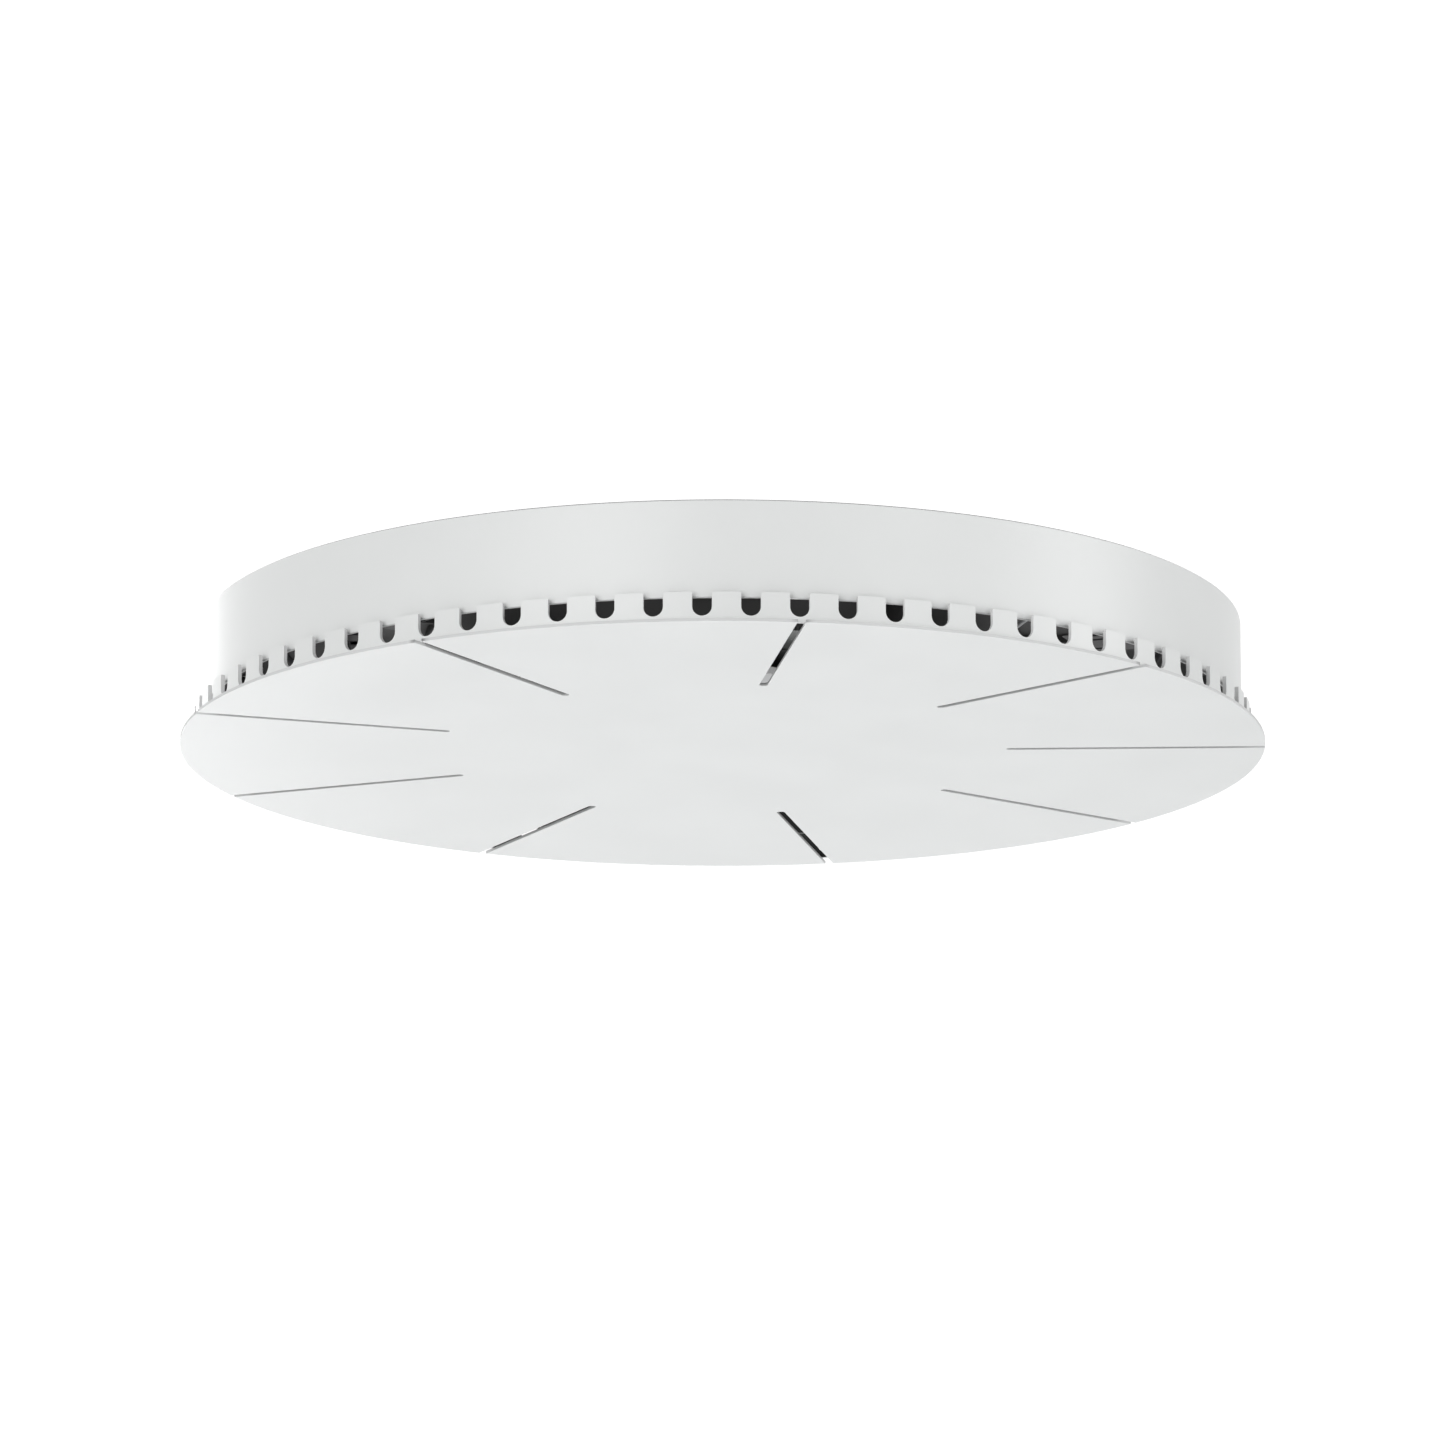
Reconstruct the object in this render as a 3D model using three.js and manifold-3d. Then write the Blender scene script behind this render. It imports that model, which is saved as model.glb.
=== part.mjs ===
// Ceiling access point: a white drum on a twist-on ceiling bracket, closed from below by a slotted cover
// with a toothed vent ring. Millimetres, +Z up. The origin is the centre of the bracket's ceiling face, so
// the device hangs below it in -Z, and heights count upwards from the underside of the cover.
import * as THREE from "three";
import { mergeVertices } from "three/addons/utils/BufferGeometryUtils.js";
import Module from "manifold-3d";

// Overall
const totalHeight = 48.4; // underside of the cover to the ceiling
const gap = 0.3; // clearance kept between neighbouring pieces
const roundSteps = 144; // facets on the outer round pieces
const over = 1; // cutters and joined blocks run this far past the face they meet
const rooted = 0.5; // depth that a boss or a nut is set into its plate

// Front cover
const plateRadius = 210;
const plateThickness = 1.27;
const slitCount = 9;
const slitWidth = 3.1;
const slitInnerRadius = 110; // the slits run from here out through the rim
const ringOuterRadius = 204.75;
const ringWall = 1.53;
const ringTop = 12.45; // height of the tooth tops
const notchCount = 72;
const notchWidth = 7.2;
const notchBottom = 3.4;
const notchOvercut = 2;
const postCircle = 185; // the cover's magnet posts
const postAngles = [60, 180, 300];
const postRadius = 5;
const postTop = 30;
const magnetThickness = 3;
const strikeRadius = 6;
const strikeThickness = 1.5;

// Drum and chassis
const drumRadius = 201.1;
const drumWall = 1.5;
const drumBottom = 11.1;
const drumTop = 47.6;
const deckThickness = 1.5; // the chassis deck under the bracket
const deckTop = 46.5;
const skirtBottom = 12;
const lipTop = 48.2;
const lipThickness = 0.3;
const lipInset = 0.2; // the lip stops this far inside the drum's outer face
const skirtWall = 1.5;

// Ceiling bracket and its twist lock
const bracketRadius = 104;
const sheet = 1.5;
const hookAngles = [30, 150, 270];
const hookWidth = 14;
const hookReach = 6; // how far a hook's foot stands out past the stem
const hookDrop = 5.4; // ceiling face to the underside of a foot
const twistDegrees = 15;
const slotPlay = { inner: 0.7, outer: 1, turn: 0.5 }; // round a hook in its slot: mm, mm and degrees
const cableHoleRadius = 22;
const cableHoleY = 52;
const grommetBore = 18;
const grommetProud = 0.1;
const boxSlot = { spacing: 83.3, length: 12, width: 4.5 }; // slots for a round ceiling box
const screwSlot = { circle: 70, length: 14, width: 5, angles: [45, 135, 225, 315] };

// Main board and what it carries
const boardRadius = 105;
const boardBottom = 23.3;
const boardTop = 24.9;
const bossRadius = 4;
const bossBore = 1.7;
const boreSpare = 2; // a blind bore runs this far past the screw's tip
const boardHoleRadius = 1.8;
const screwRadius = 1.4;
const screwHeadRadius = 3;
const screwHeadHeight = 2;
const screwCrown = { radius: 2.1, height: 0.7 }; // the flat of the head and its rounded edge
const screwTip = 36;
const nutHeight = 3; // press nuts on the board's upper face
const spreaderScrewAt = { x: 44, y: 34 };
const boardScrewCircle = 96;
const boardScrewAngles = [45, 135, 225, 315];
const spreaderBottom = 14;
const spreaderTop = 17;
const spreaderOutline = [
  [-56, -48],
  [-36, -70],
  [21, -70],
  [50, -42],
  [56, -36],
  [56, 38],
  [42, 52],
  [-42, 52],
  [-56, 38],
];
const processorSide = 27;
const processorBottom = 21;
const padThickness = 1;
const padSide = 25;
const film = { radius: 76, thickness: 0.35, clearance: 0.8, window: 31 }; // insulating film under the board
const shieldCans = [
  { x: -70, y: -8, width: 36, depth: 36 },
  { x: 70, y: -8, width: 36, depth: 36 },
  { x: 0, y: -66, width: 44, depth: 32 },
];
const canHeight = 3;
const transformer = { x: 60, y: 45, width: 20, depth: 22, height: 12 };
const capacitors = [[-56, 46], [-70, 40]];
const capacitor = { radius: 5, height: 12 }; // its height is over the board's upper face

// Port bay and connectors
const bay = { halfWidth: 36, near: 30.3, far: 75.3, wall: 1.5, floor: 25.2, rim: 44.7 };
const jack = { width: 16, length: 21.5, height: 13.5, margin: 0.4 };
const jackMouth = { width: 11.8, height: 8, floor: 2.5, depth: 18 };
const jackCentres = [-24, -5];
const consolePort = { x: 12.5, width: 9.6, length: 8, height: 5.8, margin: 0.4 };
const consoleMouth = { width: 8.4, height: 2.6, roof: 0.4, depth: 7, play: 0.5 };
const resetButton = { x: 24, height: 31, radius: 1.6, back: 26.8, front: 33.6, chamfer: 0.4, play: 0.5 };
const buttonFlange = { radius: 2.8, from: 0.8, to: 2 }; // measured from the button's back
const resetBody = { width: 6.4, depth: 6, height: 7.6, clearance: 1.1 };
const switchNose = { radius: 1.2, length: 3, proud: 1, drop: 0.4 };

// Aerials
const aerialAngles = Array.from({ length: slitCount }, (_, i) => 20 + 40 * i);
const aerial = { foot: 134, web: 146, tip: 170, width: 30, metal: 0.8, plateHeight: 29.2, top: 44.7 };
const leadRadius = 0.7;
const leadRoute = [ // radius, height, sideways
  [134, 42.6, 0],
  [127, 42.2, 2],
  [119, 38.5, 4],
  [111, 31.5, 3],
  [104, 27.2, 1],
  [97, 26.2, 0],
];

const wasm = await Module();
wasm.setup();

const at = (height) => height - totalHeight; // height above the cover's underside to Z
const turnOf = (degrees) => THREE.MathUtils.degToRad(degrees);

// Closed geometry to a solid and back, for cutting and joining
function solidOf(geometry) {
  const bare = geometry.clone();
  bare.deleteAttribute("normal");
  bare.deleteAttribute("uv");
  const merged = mergeVertices(bare, 1e-4);
  return new wasm.Manifold(
    new wasm.Mesh({
      numProp: 3,
      vertProperties: merged.attributes.position.array,
      triVerts: new Uint32Array(merged.index.array),
    }),
  );
}

function geometryOf(solid) {
  const mesh = solid.getMesh();
  const geometry = new THREE.BufferGeometry();
  geometry.setAttribute("position", new THREE.BufferAttribute(mesh.vertProperties, 3));
  geometry.setIndex(new THREE.BufferAttribute(mesh.triVerts, 1));
  geometry.computeVertexNormals();
  return geometry;
}

const cut = (base, tools) =>
  geometryOf(tools.reduce((rest, tool) => rest.subtract(solidOf(tool)), solidOf(base)));
const join = (pieces) =>
  geometryOf(pieces.slice(1).reduce((sum, piece) => sum.add(solidOf(piece)), solidOf(pieces[0])));

// A profile of [radius, height] corners turned about Z; it starts and ends on the axis or closes on itself
function turned(corners, steps) {
  const points = corners.map(([radius, height]) => new THREE.Vector2(radius, at(height)));
  return new THREE.LatheGeometry(points, steps).rotateX(Math.PI / 2);
}

function tubeRing(inner, outer, bottom, top, steps) {
  const corners = [[inner, bottom], [outer, bottom], [outer, top], [inner, top], [inner, bottom]];
  return turned(corners, steps);
}

function disc(radius, bottom, top, steps) {
  return turned([[0, bottom], [radius, bottom], [radius, top], [0, top]], steps);
}

// A post is a disc moved off the axis
function post(x, y, radius, bottom, top, steps = 16) {
  return disc(radius, bottom, top, steps).translate(x, y, 0);
}

function block(x, y, width, depth, bottom, top) {
  const geometry = new THREE.BoxGeometry(width, depth, top - bottom);
  return geometry.translate(x, y, at((bottom + top) / 2));
}

// A flat outline in plan, raised between two heights
function slab(shape, bottom, top, curveSegments = 4) {
  const depth = top - bottom;
  const geometry = new THREE.ExtrudeGeometry(shape, { depth, bevelEnabled: false, curveSegments });
  return geometry.translate(0, 0, at(bottom));
}

const polar = (radius, degrees) => [
  radius * Math.cos(turnOf(degrees)),
  radius * Math.sin(turnOf(degrees)),
];

// A slot with round ends along X, centred on x, y and turned by an angle
function slotShape(x, y, length, width, degrees = 0) {
  const shape = new THREE.Shape();
  const half = (length - width) / 2;
  const [c, s] = polar(1, degrees);
  const end = (side, from) =>
    shape.absarc(x + side * half * c, y + side * half * s, width / 2, turnOf(from), turnOf(from + 180));
  end(1, degrees - 90);
  end(-1, degrees + 90);
  shape.closePath();
  return shape;
}

function sectorShape(inner, outer, from, to) {
  const shape = new THREE.Shape();
  shape.absarc(0, 0, outer, turnOf(from), turnOf(to), false);
  shape.absarc(0, 0, inner, turnOf(to), turnOf(from), true);
  shape.closePath();
  return shape;
}

// Finishes
const finish = (color, roughness, metalness = 0) => () =>
  new THREE.MeshStandardMaterial({ color, roughness, metalness });
const whiteShell = finish(0xe9ebea, 0.55);
const blackPlastic = finish(0x18191a, 0.6);
const zincSteel = finish(0xb9bcbe, 0.4, 0.9);
const aluminium = finish(0xc9cccd, 0.35, 0.9);
const boardLacquer = finish(0x16211c, 0.45);
const tinPlate = finish(0xc4c6c7, 0.3, 0.9);
const blackRubber = finish(0x161616, 0.8);
const padSilicone = finish(0x8f9aa5, 0.8);
const magnetNickel = finish(0xa9adb0, 0.25, 1);
const chipBlack = finish(0x222324, 0.5);
const leadJacket = finish(0x9b9d9e, 0.5);

const part = new THREE.Group();
part.name = "ceiling_access_point";

function add(name, geometry, material) {
  const mesh = new THREE.Mesh(geometry, material());
  mesh.name = name;
  part.add(mesh);
}

// Front cover: a thin disc with radial slits, open through its rim
function frontPlate() {
  const slit = new THREE.Shape();
  const round = slitInnerRadius + slitWidth / 2;
  const end = plateRadius + over;
  slit.moveTo(round, -slitWidth / 2);
  slit.lineTo(end, -slitWidth / 2);
  slit.lineTo(end, slitWidth / 2);
  slit.lineTo(round, slitWidth / 2);
  slit.absarc(round, 0, slitWidth / 2, Math.PI / 2, (3 * Math.PI) / 2);
  const cutter = slab(slit, -over, plateThickness + over);
  const cutters = Array.from({ length: slitCount }, (_, i) =>
    cutter.clone().rotateZ((i * 2 * Math.PI) / slitCount),
  );
  return cut(disc(plateRadius, 0, plateThickness, roundSteps), cutters);
}

// The vent ring: a wall on the plate with U-shaped notches open at the top
function ventRing() {
  const notch = new THREE.Shape();
  const half = notchWidth / 2;
  notch.moveTo(half, ringTop + notchOvercut);
  notch.lineTo(-half, ringTop + notchOvercut);
  notch.lineTo(-half, notchBottom + half);
  notch.absarc(0, notchBottom + half, half, Math.PI, 2 * Math.PI);
  notch.closePath();
  const standing = new THREE.Matrix4().makeBasis(
    new THREE.Vector3(0, 1, 0),
    new THREE.Vector3(0, 0, 1),
    new THREE.Vector3(1, 0, 0),
  );
  const depth = 4 * ringWall;
  const cutter = new THREE.ExtrudeGeometry(notch, { depth, bevelEnabled: false, curveSegments: 3 })
    .applyMatrix4(standing)
    .translate(ringOuterRadius - 2.5 * ringWall, 0, at(0));
  const inner = ringOuterRadius - ringWall;
  const wall = tubeRing(inner, ringOuterRadius, plateThickness + gap, ringTop, roundSteps);
  const cutters = Array.from({ length: notchCount }, (_, i) =>
    cutter.clone().rotateZ((i * 2 * Math.PI) / notchCount),
  );
  return cut(wall, cutters);
}

function frontCover() {
  add("front_plate", frontPlate(), whiteShell);
  add("vent_ring", ventRing(), whiteShell);
  postAngles.forEach((angle, i) => {
    const [x, y] = polar(postCircle, angle);
    const magnetBottom = postTop + gap;
    add(`cover_post_${i + 1}`, post(x, y, postRadius, plateThickness + gap, postTop), blackPlastic);
    const magnet = post(x, y, postRadius, magnetBottom, magnetBottom + magnetThickness);
    add(`post_magnet_${i + 1}`, magnet, magnetNickel);
  });
}

const spreaderScrews = [[1, 1], [-1, 1], [-1, -1], [1, -1]].map(([sx, sy]) => [
  sx * spreaderScrewAt.x,
  sy * spreaderScrewAt.y,
]);
const boardScrews = boardScrewAngles.map((angle) => polar(boardScrewCircle, angle));
const strikeBottom = postTop + gap + magnetThickness + gap;
const skirtOuter = drumRadius - drumWall - gap;
const skirtInner = skirtOuter - skirtWall;
const lipRadius = drumRadius - lipInset;

// The skirt: the black wall inside the drum, with a thin lip that closes the drum's top edge
function chassisSkirt() {
  return turned(
    [
      [skirtInner, skirtBottom],
      [skirtOuter, skirtBottom],
      [skirtOuter, lipTop - lipThickness],
      [lipRadius, lipTop - lipThickness],
      [lipRadius, lipTop],
      [skirtInner, lipTop],
      [skirtInner, skirtBottom],
    ],
    roundSteps,
  );
}

// The deck: a disc set in the top of the skirt, with bosses for the board and the strike plates
function chassisDeck() {
  const deckBottom = deckTop - deckThickness;
  const bosses = boardScrews.map(([x, y]) => post(x, y, bossRadius, boardTop + gap, deckBottom + rooted));
  const pads = postAngles.map((angle) => {
    const [x, y] = polar(postCircle, angle);
    return post(x, y, strikeRadius, strikeBottom + strikeThickness + gap, deckBottom + rooted);
  });
  const bores = boardScrews.map(([x, y]) => post(x, y, bossBore, boardTop - over, screwTip + boreSpare, 12));
  const portWindow = block(
    0,
    (bay.near + bay.far) / 2,
    2 * (bay.halfWidth - bay.wall),
    bay.far - bay.near - 2 * bay.wall,
    deckBottom - over,
    deckTop + over,
  );
  const plate = disc(skirtInner - gap, deckBottom, deckTop, roundSteps / 2);
  return cut(join([plate, ...bosses, ...pads]), [...bores, portWindow, ...hookSlots()]);
}

// Each hook drops in through a wide entry and its stem runs along a narrow arc as the device is twisted
function hookSlots() {
  const stemInner = bracketRadius - sheet;
  const halfHook = THREE.MathUtils.radToDeg(hookWidth / 2 / stemInner);
  const halfEntry = halfHook + slotPlay.turn;
  const inner = stemInner - slotPlay.inner;
  const bottom = deckTop - deckThickness - over;
  const top = deckTop + over;
  return hookAngles.flatMap((angle) => {
    const open = angle - twistDegrees;
    const arc = sectorShape(inner, bracketRadius + slotPlay.outer, open, angle + halfEntry);
    const entryOuter = bracketRadius + hookReach + slotPlay.outer;
    const entry = sectorShape(inner, entryOuter, open - halfEntry, open + halfEntry);
    return [slab(arc, bottom, top), slab(entry, bottom, top)];
  });
}

// The white sleeve bonded round the skirt
const drumShell = () => tubeRing(drumRadius - drumWall, drumRadius, drumBottom, drumTop, roundSteps);

// The open well behind the deck window, where the cables turn down into the jacks
function portBay() {
  const { halfWidth, near, far, wall, floor, rim } = bay;
  const middle = (near + far) / 2;
  const outside = block(0, middle, 2 * halfWidth, far - near, floor, rim);
  const inside = block(0, middle, 2 * (halfWidth - wall), far - near - 2 * wall, floor + wall, rim + over);
  const openingDepth = 2 * (wall + over);
  const jackBottom = boardTop + gap + jackMouth.floor - jack.margin;
  const jackTop = jackBottom + jackMouth.height + 2 * jack.margin;
  const jackOpenings = jackCentres.map((x) =>
    block(x, near, jackMouth.width + 2 * jack.margin, openingDepth, jackBottom, jackTop),
  );
  const consoleTop = boardTop + gap + consolePort.height - consoleMouth.roof;
  const consoleOpening = block(
    consolePort.x,
    near,
    consoleMouth.width + 2 * consolePort.margin,
    openingDepth,
    consoleTop - consoleMouth.height - consoleMouth.play,
    consoleTop + consoleMouth.play,
  );
  const holeRadius = resetButton.radius + resetButton.play;
  const buttonHole = alongY(holeRadius, near - over, near + wall + over, resetButton.x, resetButton.height);
  return cut(outside, [inside, ...jackOpenings, consoleOpening, buttonHole]);
}

// A round bar along Y
function alongY(radius, from, to, x, height, steps = 20) {
  const points = [
    new THREE.Vector2(0, from),
    new THREE.Vector2(radius, from),
    new THREE.Vector2(radius, to),
    new THREE.Vector2(0, to),
  ];
  return new THREE.LatheGeometry(points, steps).translate(x, 0, at(height));
}

// The board, with the press nuts that hold the heat spreader's screws
function mainBoard() {
  const nutTop = boardTop + nutHeight;
  const nuts = spreaderScrews.map(([x, y]) => post(x, y, bossRadius, boardTop - rooted, nutTop));
  const holes = [...spreaderScrews, ...boardScrews].map(([x, y]) =>
    post(x, y, boardHoleRadius, boardBottom - over, nutTop + over, 12),
  );
  return cut(join([disc(boardRadius, boardBottom, boardTop, 72), ...nuts]), holes);
}

// Heat spreader: a thick plate below the board on four pillars, with a pedestal under the processor
function heatSpreader() {
  const outline = new THREE.Shape(spreaderOutline.map(([x, y]) => new THREE.Vector2(x, y)));
  const plate = slab(outline, spreaderBottom, spreaderTop);
  const pillarTop = boardBottom - gap;
  const pillars = spreaderScrews.map(([x, y]) => post(x, y, bossRadius, spreaderTop - over, pillarTop));
  const pedestalTop = processorBottom - gap - padThickness - gap;
  const pedestal = block(0, 0, processorSide, processorSide, spreaderTop - over, pedestalTop);
  const bores = spreaderScrews.map(([x, y]) =>
    post(x, y, bossBore, spreaderBottom - over, boardBottom + over, 12),
  );
  return cut(join([plate, pedestal, ...pillars]), bores);
}

// Black film under the board, with a window for the processor and holes for the spreader's pillars
function insulatingFilm() {
  const top = boardBottom - gap;
  const bottom = top - film.thickness;
  const window = block(0, 0, film.window, film.window, bottom - over, top + over);
  const holeRadius = bossRadius + film.clearance;
  const holes = spreaderScrews.map(([x, y]) => post(x, y, holeRadius, bottom - over, top + over));
  return cut(disc(film.radius, bottom, top, 48), [window, ...holes]);
}

// A pan-head screw, head down, with its shank up through the board
function screwUnder([x, y], seat, tip) {
  const head = seat - gap - screwHeadHeight;
  const corners = [
    [0, head],
    [screwCrown.radius, head],
    [screwHeadRadius, head + screwCrown.height],
    [screwHeadRadius, head + screwHeadHeight],
    [screwRadius, head + screwHeadHeight],
    [screwRadius, tip],
    [0, tip],
  ];
  return turned(corners, 16).translate(x, y, 0);
}

// A low can or package standing on the board
const onBoard = (x, y, width, depth, height) =>
  block(x, y, width, depth, boardTop + gap, boardTop + gap + height);

function networkJack(x) {
  const back = bay.near - gap - jack.length;
  const body = onBoard(x, back + jack.length / 2, jack.width, jack.length, jack.height);
  const { width, height, floor, depth } = jackMouth;
  const bottom = boardTop + gap + floor;
  return cut(body, [block(x, bay.near + (over - depth) / 2, width, depth + over, bottom, bottom + height)]);
}

function consoleSocket() {
  const { x, width, length, height } = consolePort;
  const { roof, depth } = consoleMouth;
  const body = onBoard(x, bay.near - gap - length / 2, width, length, height);
  const top = boardTop + gap + height - roof;
  const middle = bay.near + (over - depth) / 2;
  return cut(body, [block(x, middle, consoleMouth.width, depth + over, top - consoleMouth.height, top)]);
}

// The reset switch stands on the board with its plunger towards the bay
function resetSwitch() {
  const { width, depth, height, clearance } = resetBody;
  const { radius, length, proud, drop } = switchNose;
  const face = resetButton.back - clearance;
  const body = onBoard(resetButton.x, face - proud - depth / 2, width, depth, height);
  const nose = alongY(radius, face - length, face, resetButton.x, resetButton.height - drop, 16);
  return join([body, nose]);
}

// The button: a stem through the bay wall with a flange behind it
function buttonStem() {
  const { x, height, radius, back, front, chamfer } = resetButton;
  const flange = buttonFlange;
  const corners = [
    [0, back],
    [radius, back],
    [radius, back + flange.from],
    [flange.radius, back + flange.from],
    [flange.radius, back + flange.to],
    [radius, back + flange.to],
    [radius, front - chamfer],
    [radius - chamfer, front],
    [0, front],
  ].map(([r, y]) => new THREE.Vector2(r, y));
  return new THREE.LatheGeometry(corners, 20).translate(x, 0, at(height));
}

// One stamped aerial: a foot on the deck, a web down and a wide plate out towards the rim
function aerialOf(degrees) {
  const { foot, web, tip, width, metal, plateHeight, top } = aerial;
  const section = new THREE.Shape();
  section.moveTo(foot, at(top));
  section.lineTo(foot, at(top - metal));
  section.lineTo(web - metal, at(top - metal));
  section.lineTo(web - metal, at(plateHeight));
  section.lineTo(tip, at(plateHeight));
  section.lineTo(tip, at(plateHeight + metal));
  section.lineTo(web, at(plateHeight + metal));
  section.lineTo(web, at(top));
  section.closePath();
  return new THREE.ExtrudeGeometry(section, { depth: width, bevelEnabled: false })
    .rotateX(Math.PI / 2)
    .translate(0, width / 2, 0)
    .rotateZ(turnOf(degrees));
}

// A lead from the aerial's foot down to the edge of the board
function leadOf(degrees) {
  const route = leadRoute.map(([radius, height, side]) => new THREE.Vector3(radius, side, at(height)));
  const section = new THREE.Shape();
  section.absarc(0, 0, leadRadius, 0, 2 * Math.PI);
  return new THREE.ExtrudeGeometry(section, {
    steps: 10,
    curveSegments: 4,
    extrudePath: new THREE.CatmullRomCurve3(route),
  }).rotateZ(turnOf(degrees));
}

function ceilingBracket() {
  const plate = disc(bracketRadius, totalHeight - sheet, totalHeight, 96);
  const stemInner = bracketRadius - sheet;
  const hooks = hookAngles.map((angle) => {
    const section = new THREE.Shape();
    section.moveTo(stemInner - sheet, -sheet / 2);
    section.lineTo(stemInner, -sheet);
    section.lineTo(stemInner, -hookDrop);
    section.lineTo(bracketRadius + hookReach, -hookDrop);
    section.lineTo(bracketRadius + hookReach, -hookDrop + sheet);
    section.lineTo(bracketRadius, -hookDrop + sheet);
    section.lineTo(bracketRadius, -sheet / 2);
    section.closePath();
    return new THREE.ExtrudeGeometry(section, { depth: hookWidth, bevelEnabled: false })
      .rotateX(Math.PI / 2)
      .translate(0, hookWidth / 2, 0)
      .rotateZ(turnOf(angle));
  });
  const through = (shape) => slab(shape, totalHeight - 2 * sheet, totalHeight + sheet);
  const boxSlots = [-1, 1].map((side) =>
    through(slotShape((side * boxSlot.spacing) / 2, 0, boxSlot.length, boxSlot.width)),
  );
  const cornerSlots = screwSlot.angles.map((angle) => {
    const [x, y] = polar(screwSlot.circle, angle);
    return through(slotShape(x, y, screwSlot.length, screwSlot.width, angle + 90));
  });
  const cableHole = post(0, cableHoleY, cableHoleRadius, totalHeight - 2 * sheet, totalHeight + sheet, 48);
  return cut(join([plate, ...hooks]), [cableHole, ...boxSlots, ...cornerSlots]);
}

function cableGrommet() {
  const bottom = totalHeight - sheet - grommetProud;
  const bush = tubeRing(grommetBore, cableHoleRadius - gap, bottom, totalHeight - gap, 48);
  return bush.translate(0, cableHoleY, 0);
}

add("ceiling_bracket", ceilingBracket(), zincSteel);
add("cable_grommet", cableGrommet(), blackRubber);
frontCover();
add("chassis_deck", chassisDeck(), blackPlastic);
add("chassis_skirt", chassisSkirt(), blackPlastic);
add("drum_shell", drumShell(), whiteShell);
add("port_bay", portBay(), blackPlastic);
add("main_board", mainBoard(), boardLacquer);
add("insulating_film", insulatingFilm(), blackPlastic);
add("heat_spreader", heatSpreader(), aluminium);
add("processor", block(0, 0, processorSide, processorSide, processorBottom, boardBottom - gap), chipBlack);
add(
  "thermal_pad",
  block(0, 0, padSide, padSide, processorBottom - gap - padThickness, processorBottom - gap),
  padSilicone,
);
shieldCans.forEach(({ x, y, width, depth }, i) =>
  add(`shield_can_${i + 1}`, onBoard(x, y, width, depth, canHeight), tinPlate),
);
jackCentres.forEach((x, i) => add(`ethernet_jack_${i + 1}`, networkJack(x), tinPlate));
add("console_port", consoleSocket(), tinPlate);
add("reset_switch", resetSwitch(), chipBlack);
add("reset_button", buttonStem(), whiteShell);
const { x: coilX, y: coilY, width: coilWidth, depth: coilDepth, height: coilHeight } = transformer;
add("poe_transformer", onBoard(coilX, coilY, coilWidth, coilDepth, coilHeight), chipBlack);
capacitors.forEach(([x, y], i) => {
  const can = post(x, y, capacitor.radius, boardTop + gap, boardTop + capacitor.height);
  add(`capacitor_${i + 1}`, can, chipBlack);
});
spreaderScrews.forEach((place, i) => {
  const screw = screwUnder(place, spreaderBottom, boardTop + nutHeight);
  add(`spreader_screw_${i + 1}`, screw, zincSteel);
});
boardScrews.forEach((place, i) => {
  add(`board_screw_${i + 1}`, screwUnder(place, boardBottom, screwTip), zincSteel);
});
aerialAngles.forEach((angle, i) => {
  add(`aerial_${i + 1}`, aerialOf(angle), tinPlate);
  add(`aerial_lead_${i + 1}`, leadOf(angle), leadJacket);
});
postAngles.forEach((angle, i) => {
  const [x, y] = polar(postCircle, angle);
  const plate = post(x, y, strikeRadius, strikeBottom, strikeBottom + strikeThickness);
  add(`strike_plate_${i + 1}`, plate, zincSteel);
});

export default part;
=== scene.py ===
import math
import random

import bmesh
import bpy
from mathutils import Matrix, Vector


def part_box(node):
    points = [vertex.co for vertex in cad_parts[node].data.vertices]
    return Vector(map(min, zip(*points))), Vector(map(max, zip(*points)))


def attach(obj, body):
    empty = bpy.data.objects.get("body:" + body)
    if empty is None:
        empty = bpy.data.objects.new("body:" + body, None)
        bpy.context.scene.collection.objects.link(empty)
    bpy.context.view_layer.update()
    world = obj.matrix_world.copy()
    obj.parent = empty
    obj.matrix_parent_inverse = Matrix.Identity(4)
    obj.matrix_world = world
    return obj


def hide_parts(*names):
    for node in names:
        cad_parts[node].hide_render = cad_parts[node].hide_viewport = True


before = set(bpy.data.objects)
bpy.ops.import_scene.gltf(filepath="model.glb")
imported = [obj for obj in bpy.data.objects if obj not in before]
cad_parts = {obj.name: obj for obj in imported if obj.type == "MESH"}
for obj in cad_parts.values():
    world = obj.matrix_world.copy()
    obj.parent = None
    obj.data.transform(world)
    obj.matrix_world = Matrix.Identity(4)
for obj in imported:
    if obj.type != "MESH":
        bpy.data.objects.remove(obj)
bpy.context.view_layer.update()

print("frame loaded", len(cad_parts), "nodes")

mm = 0.001
scene = bpy.context.scene
scene.view_settings.view_transform = "Standard"   # so that a white wall shows white


def radiusOf(node):
    low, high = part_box(node)
    return (high.x - low.x) / 2


def middleOf(node):
    low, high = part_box(node)
    return (low + high) / 2


def numbered(stem):
    # the nodes stem_1, stem_2 ... in order
    found = []
    while f"{stem}_{len(found) + 1}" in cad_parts:
        found.append(f"{stem}_{len(found) + 1}")
    return found


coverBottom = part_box("front_plate")[0].z
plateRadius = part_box("front_plate")[1].y

cameraSet = {
    "lens": 202.3,
    "distance": 14.9926,      # in cover radii, from the middle of the cover's underside
    "below": 13.0046,         # degrees under the horizon
    "pitch": 13.209,          # degrees up
    "swing": 2.088,           # degrees round from the -Y side
    "sensor": 36,
    "farClip": 400,           # metres
}


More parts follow.
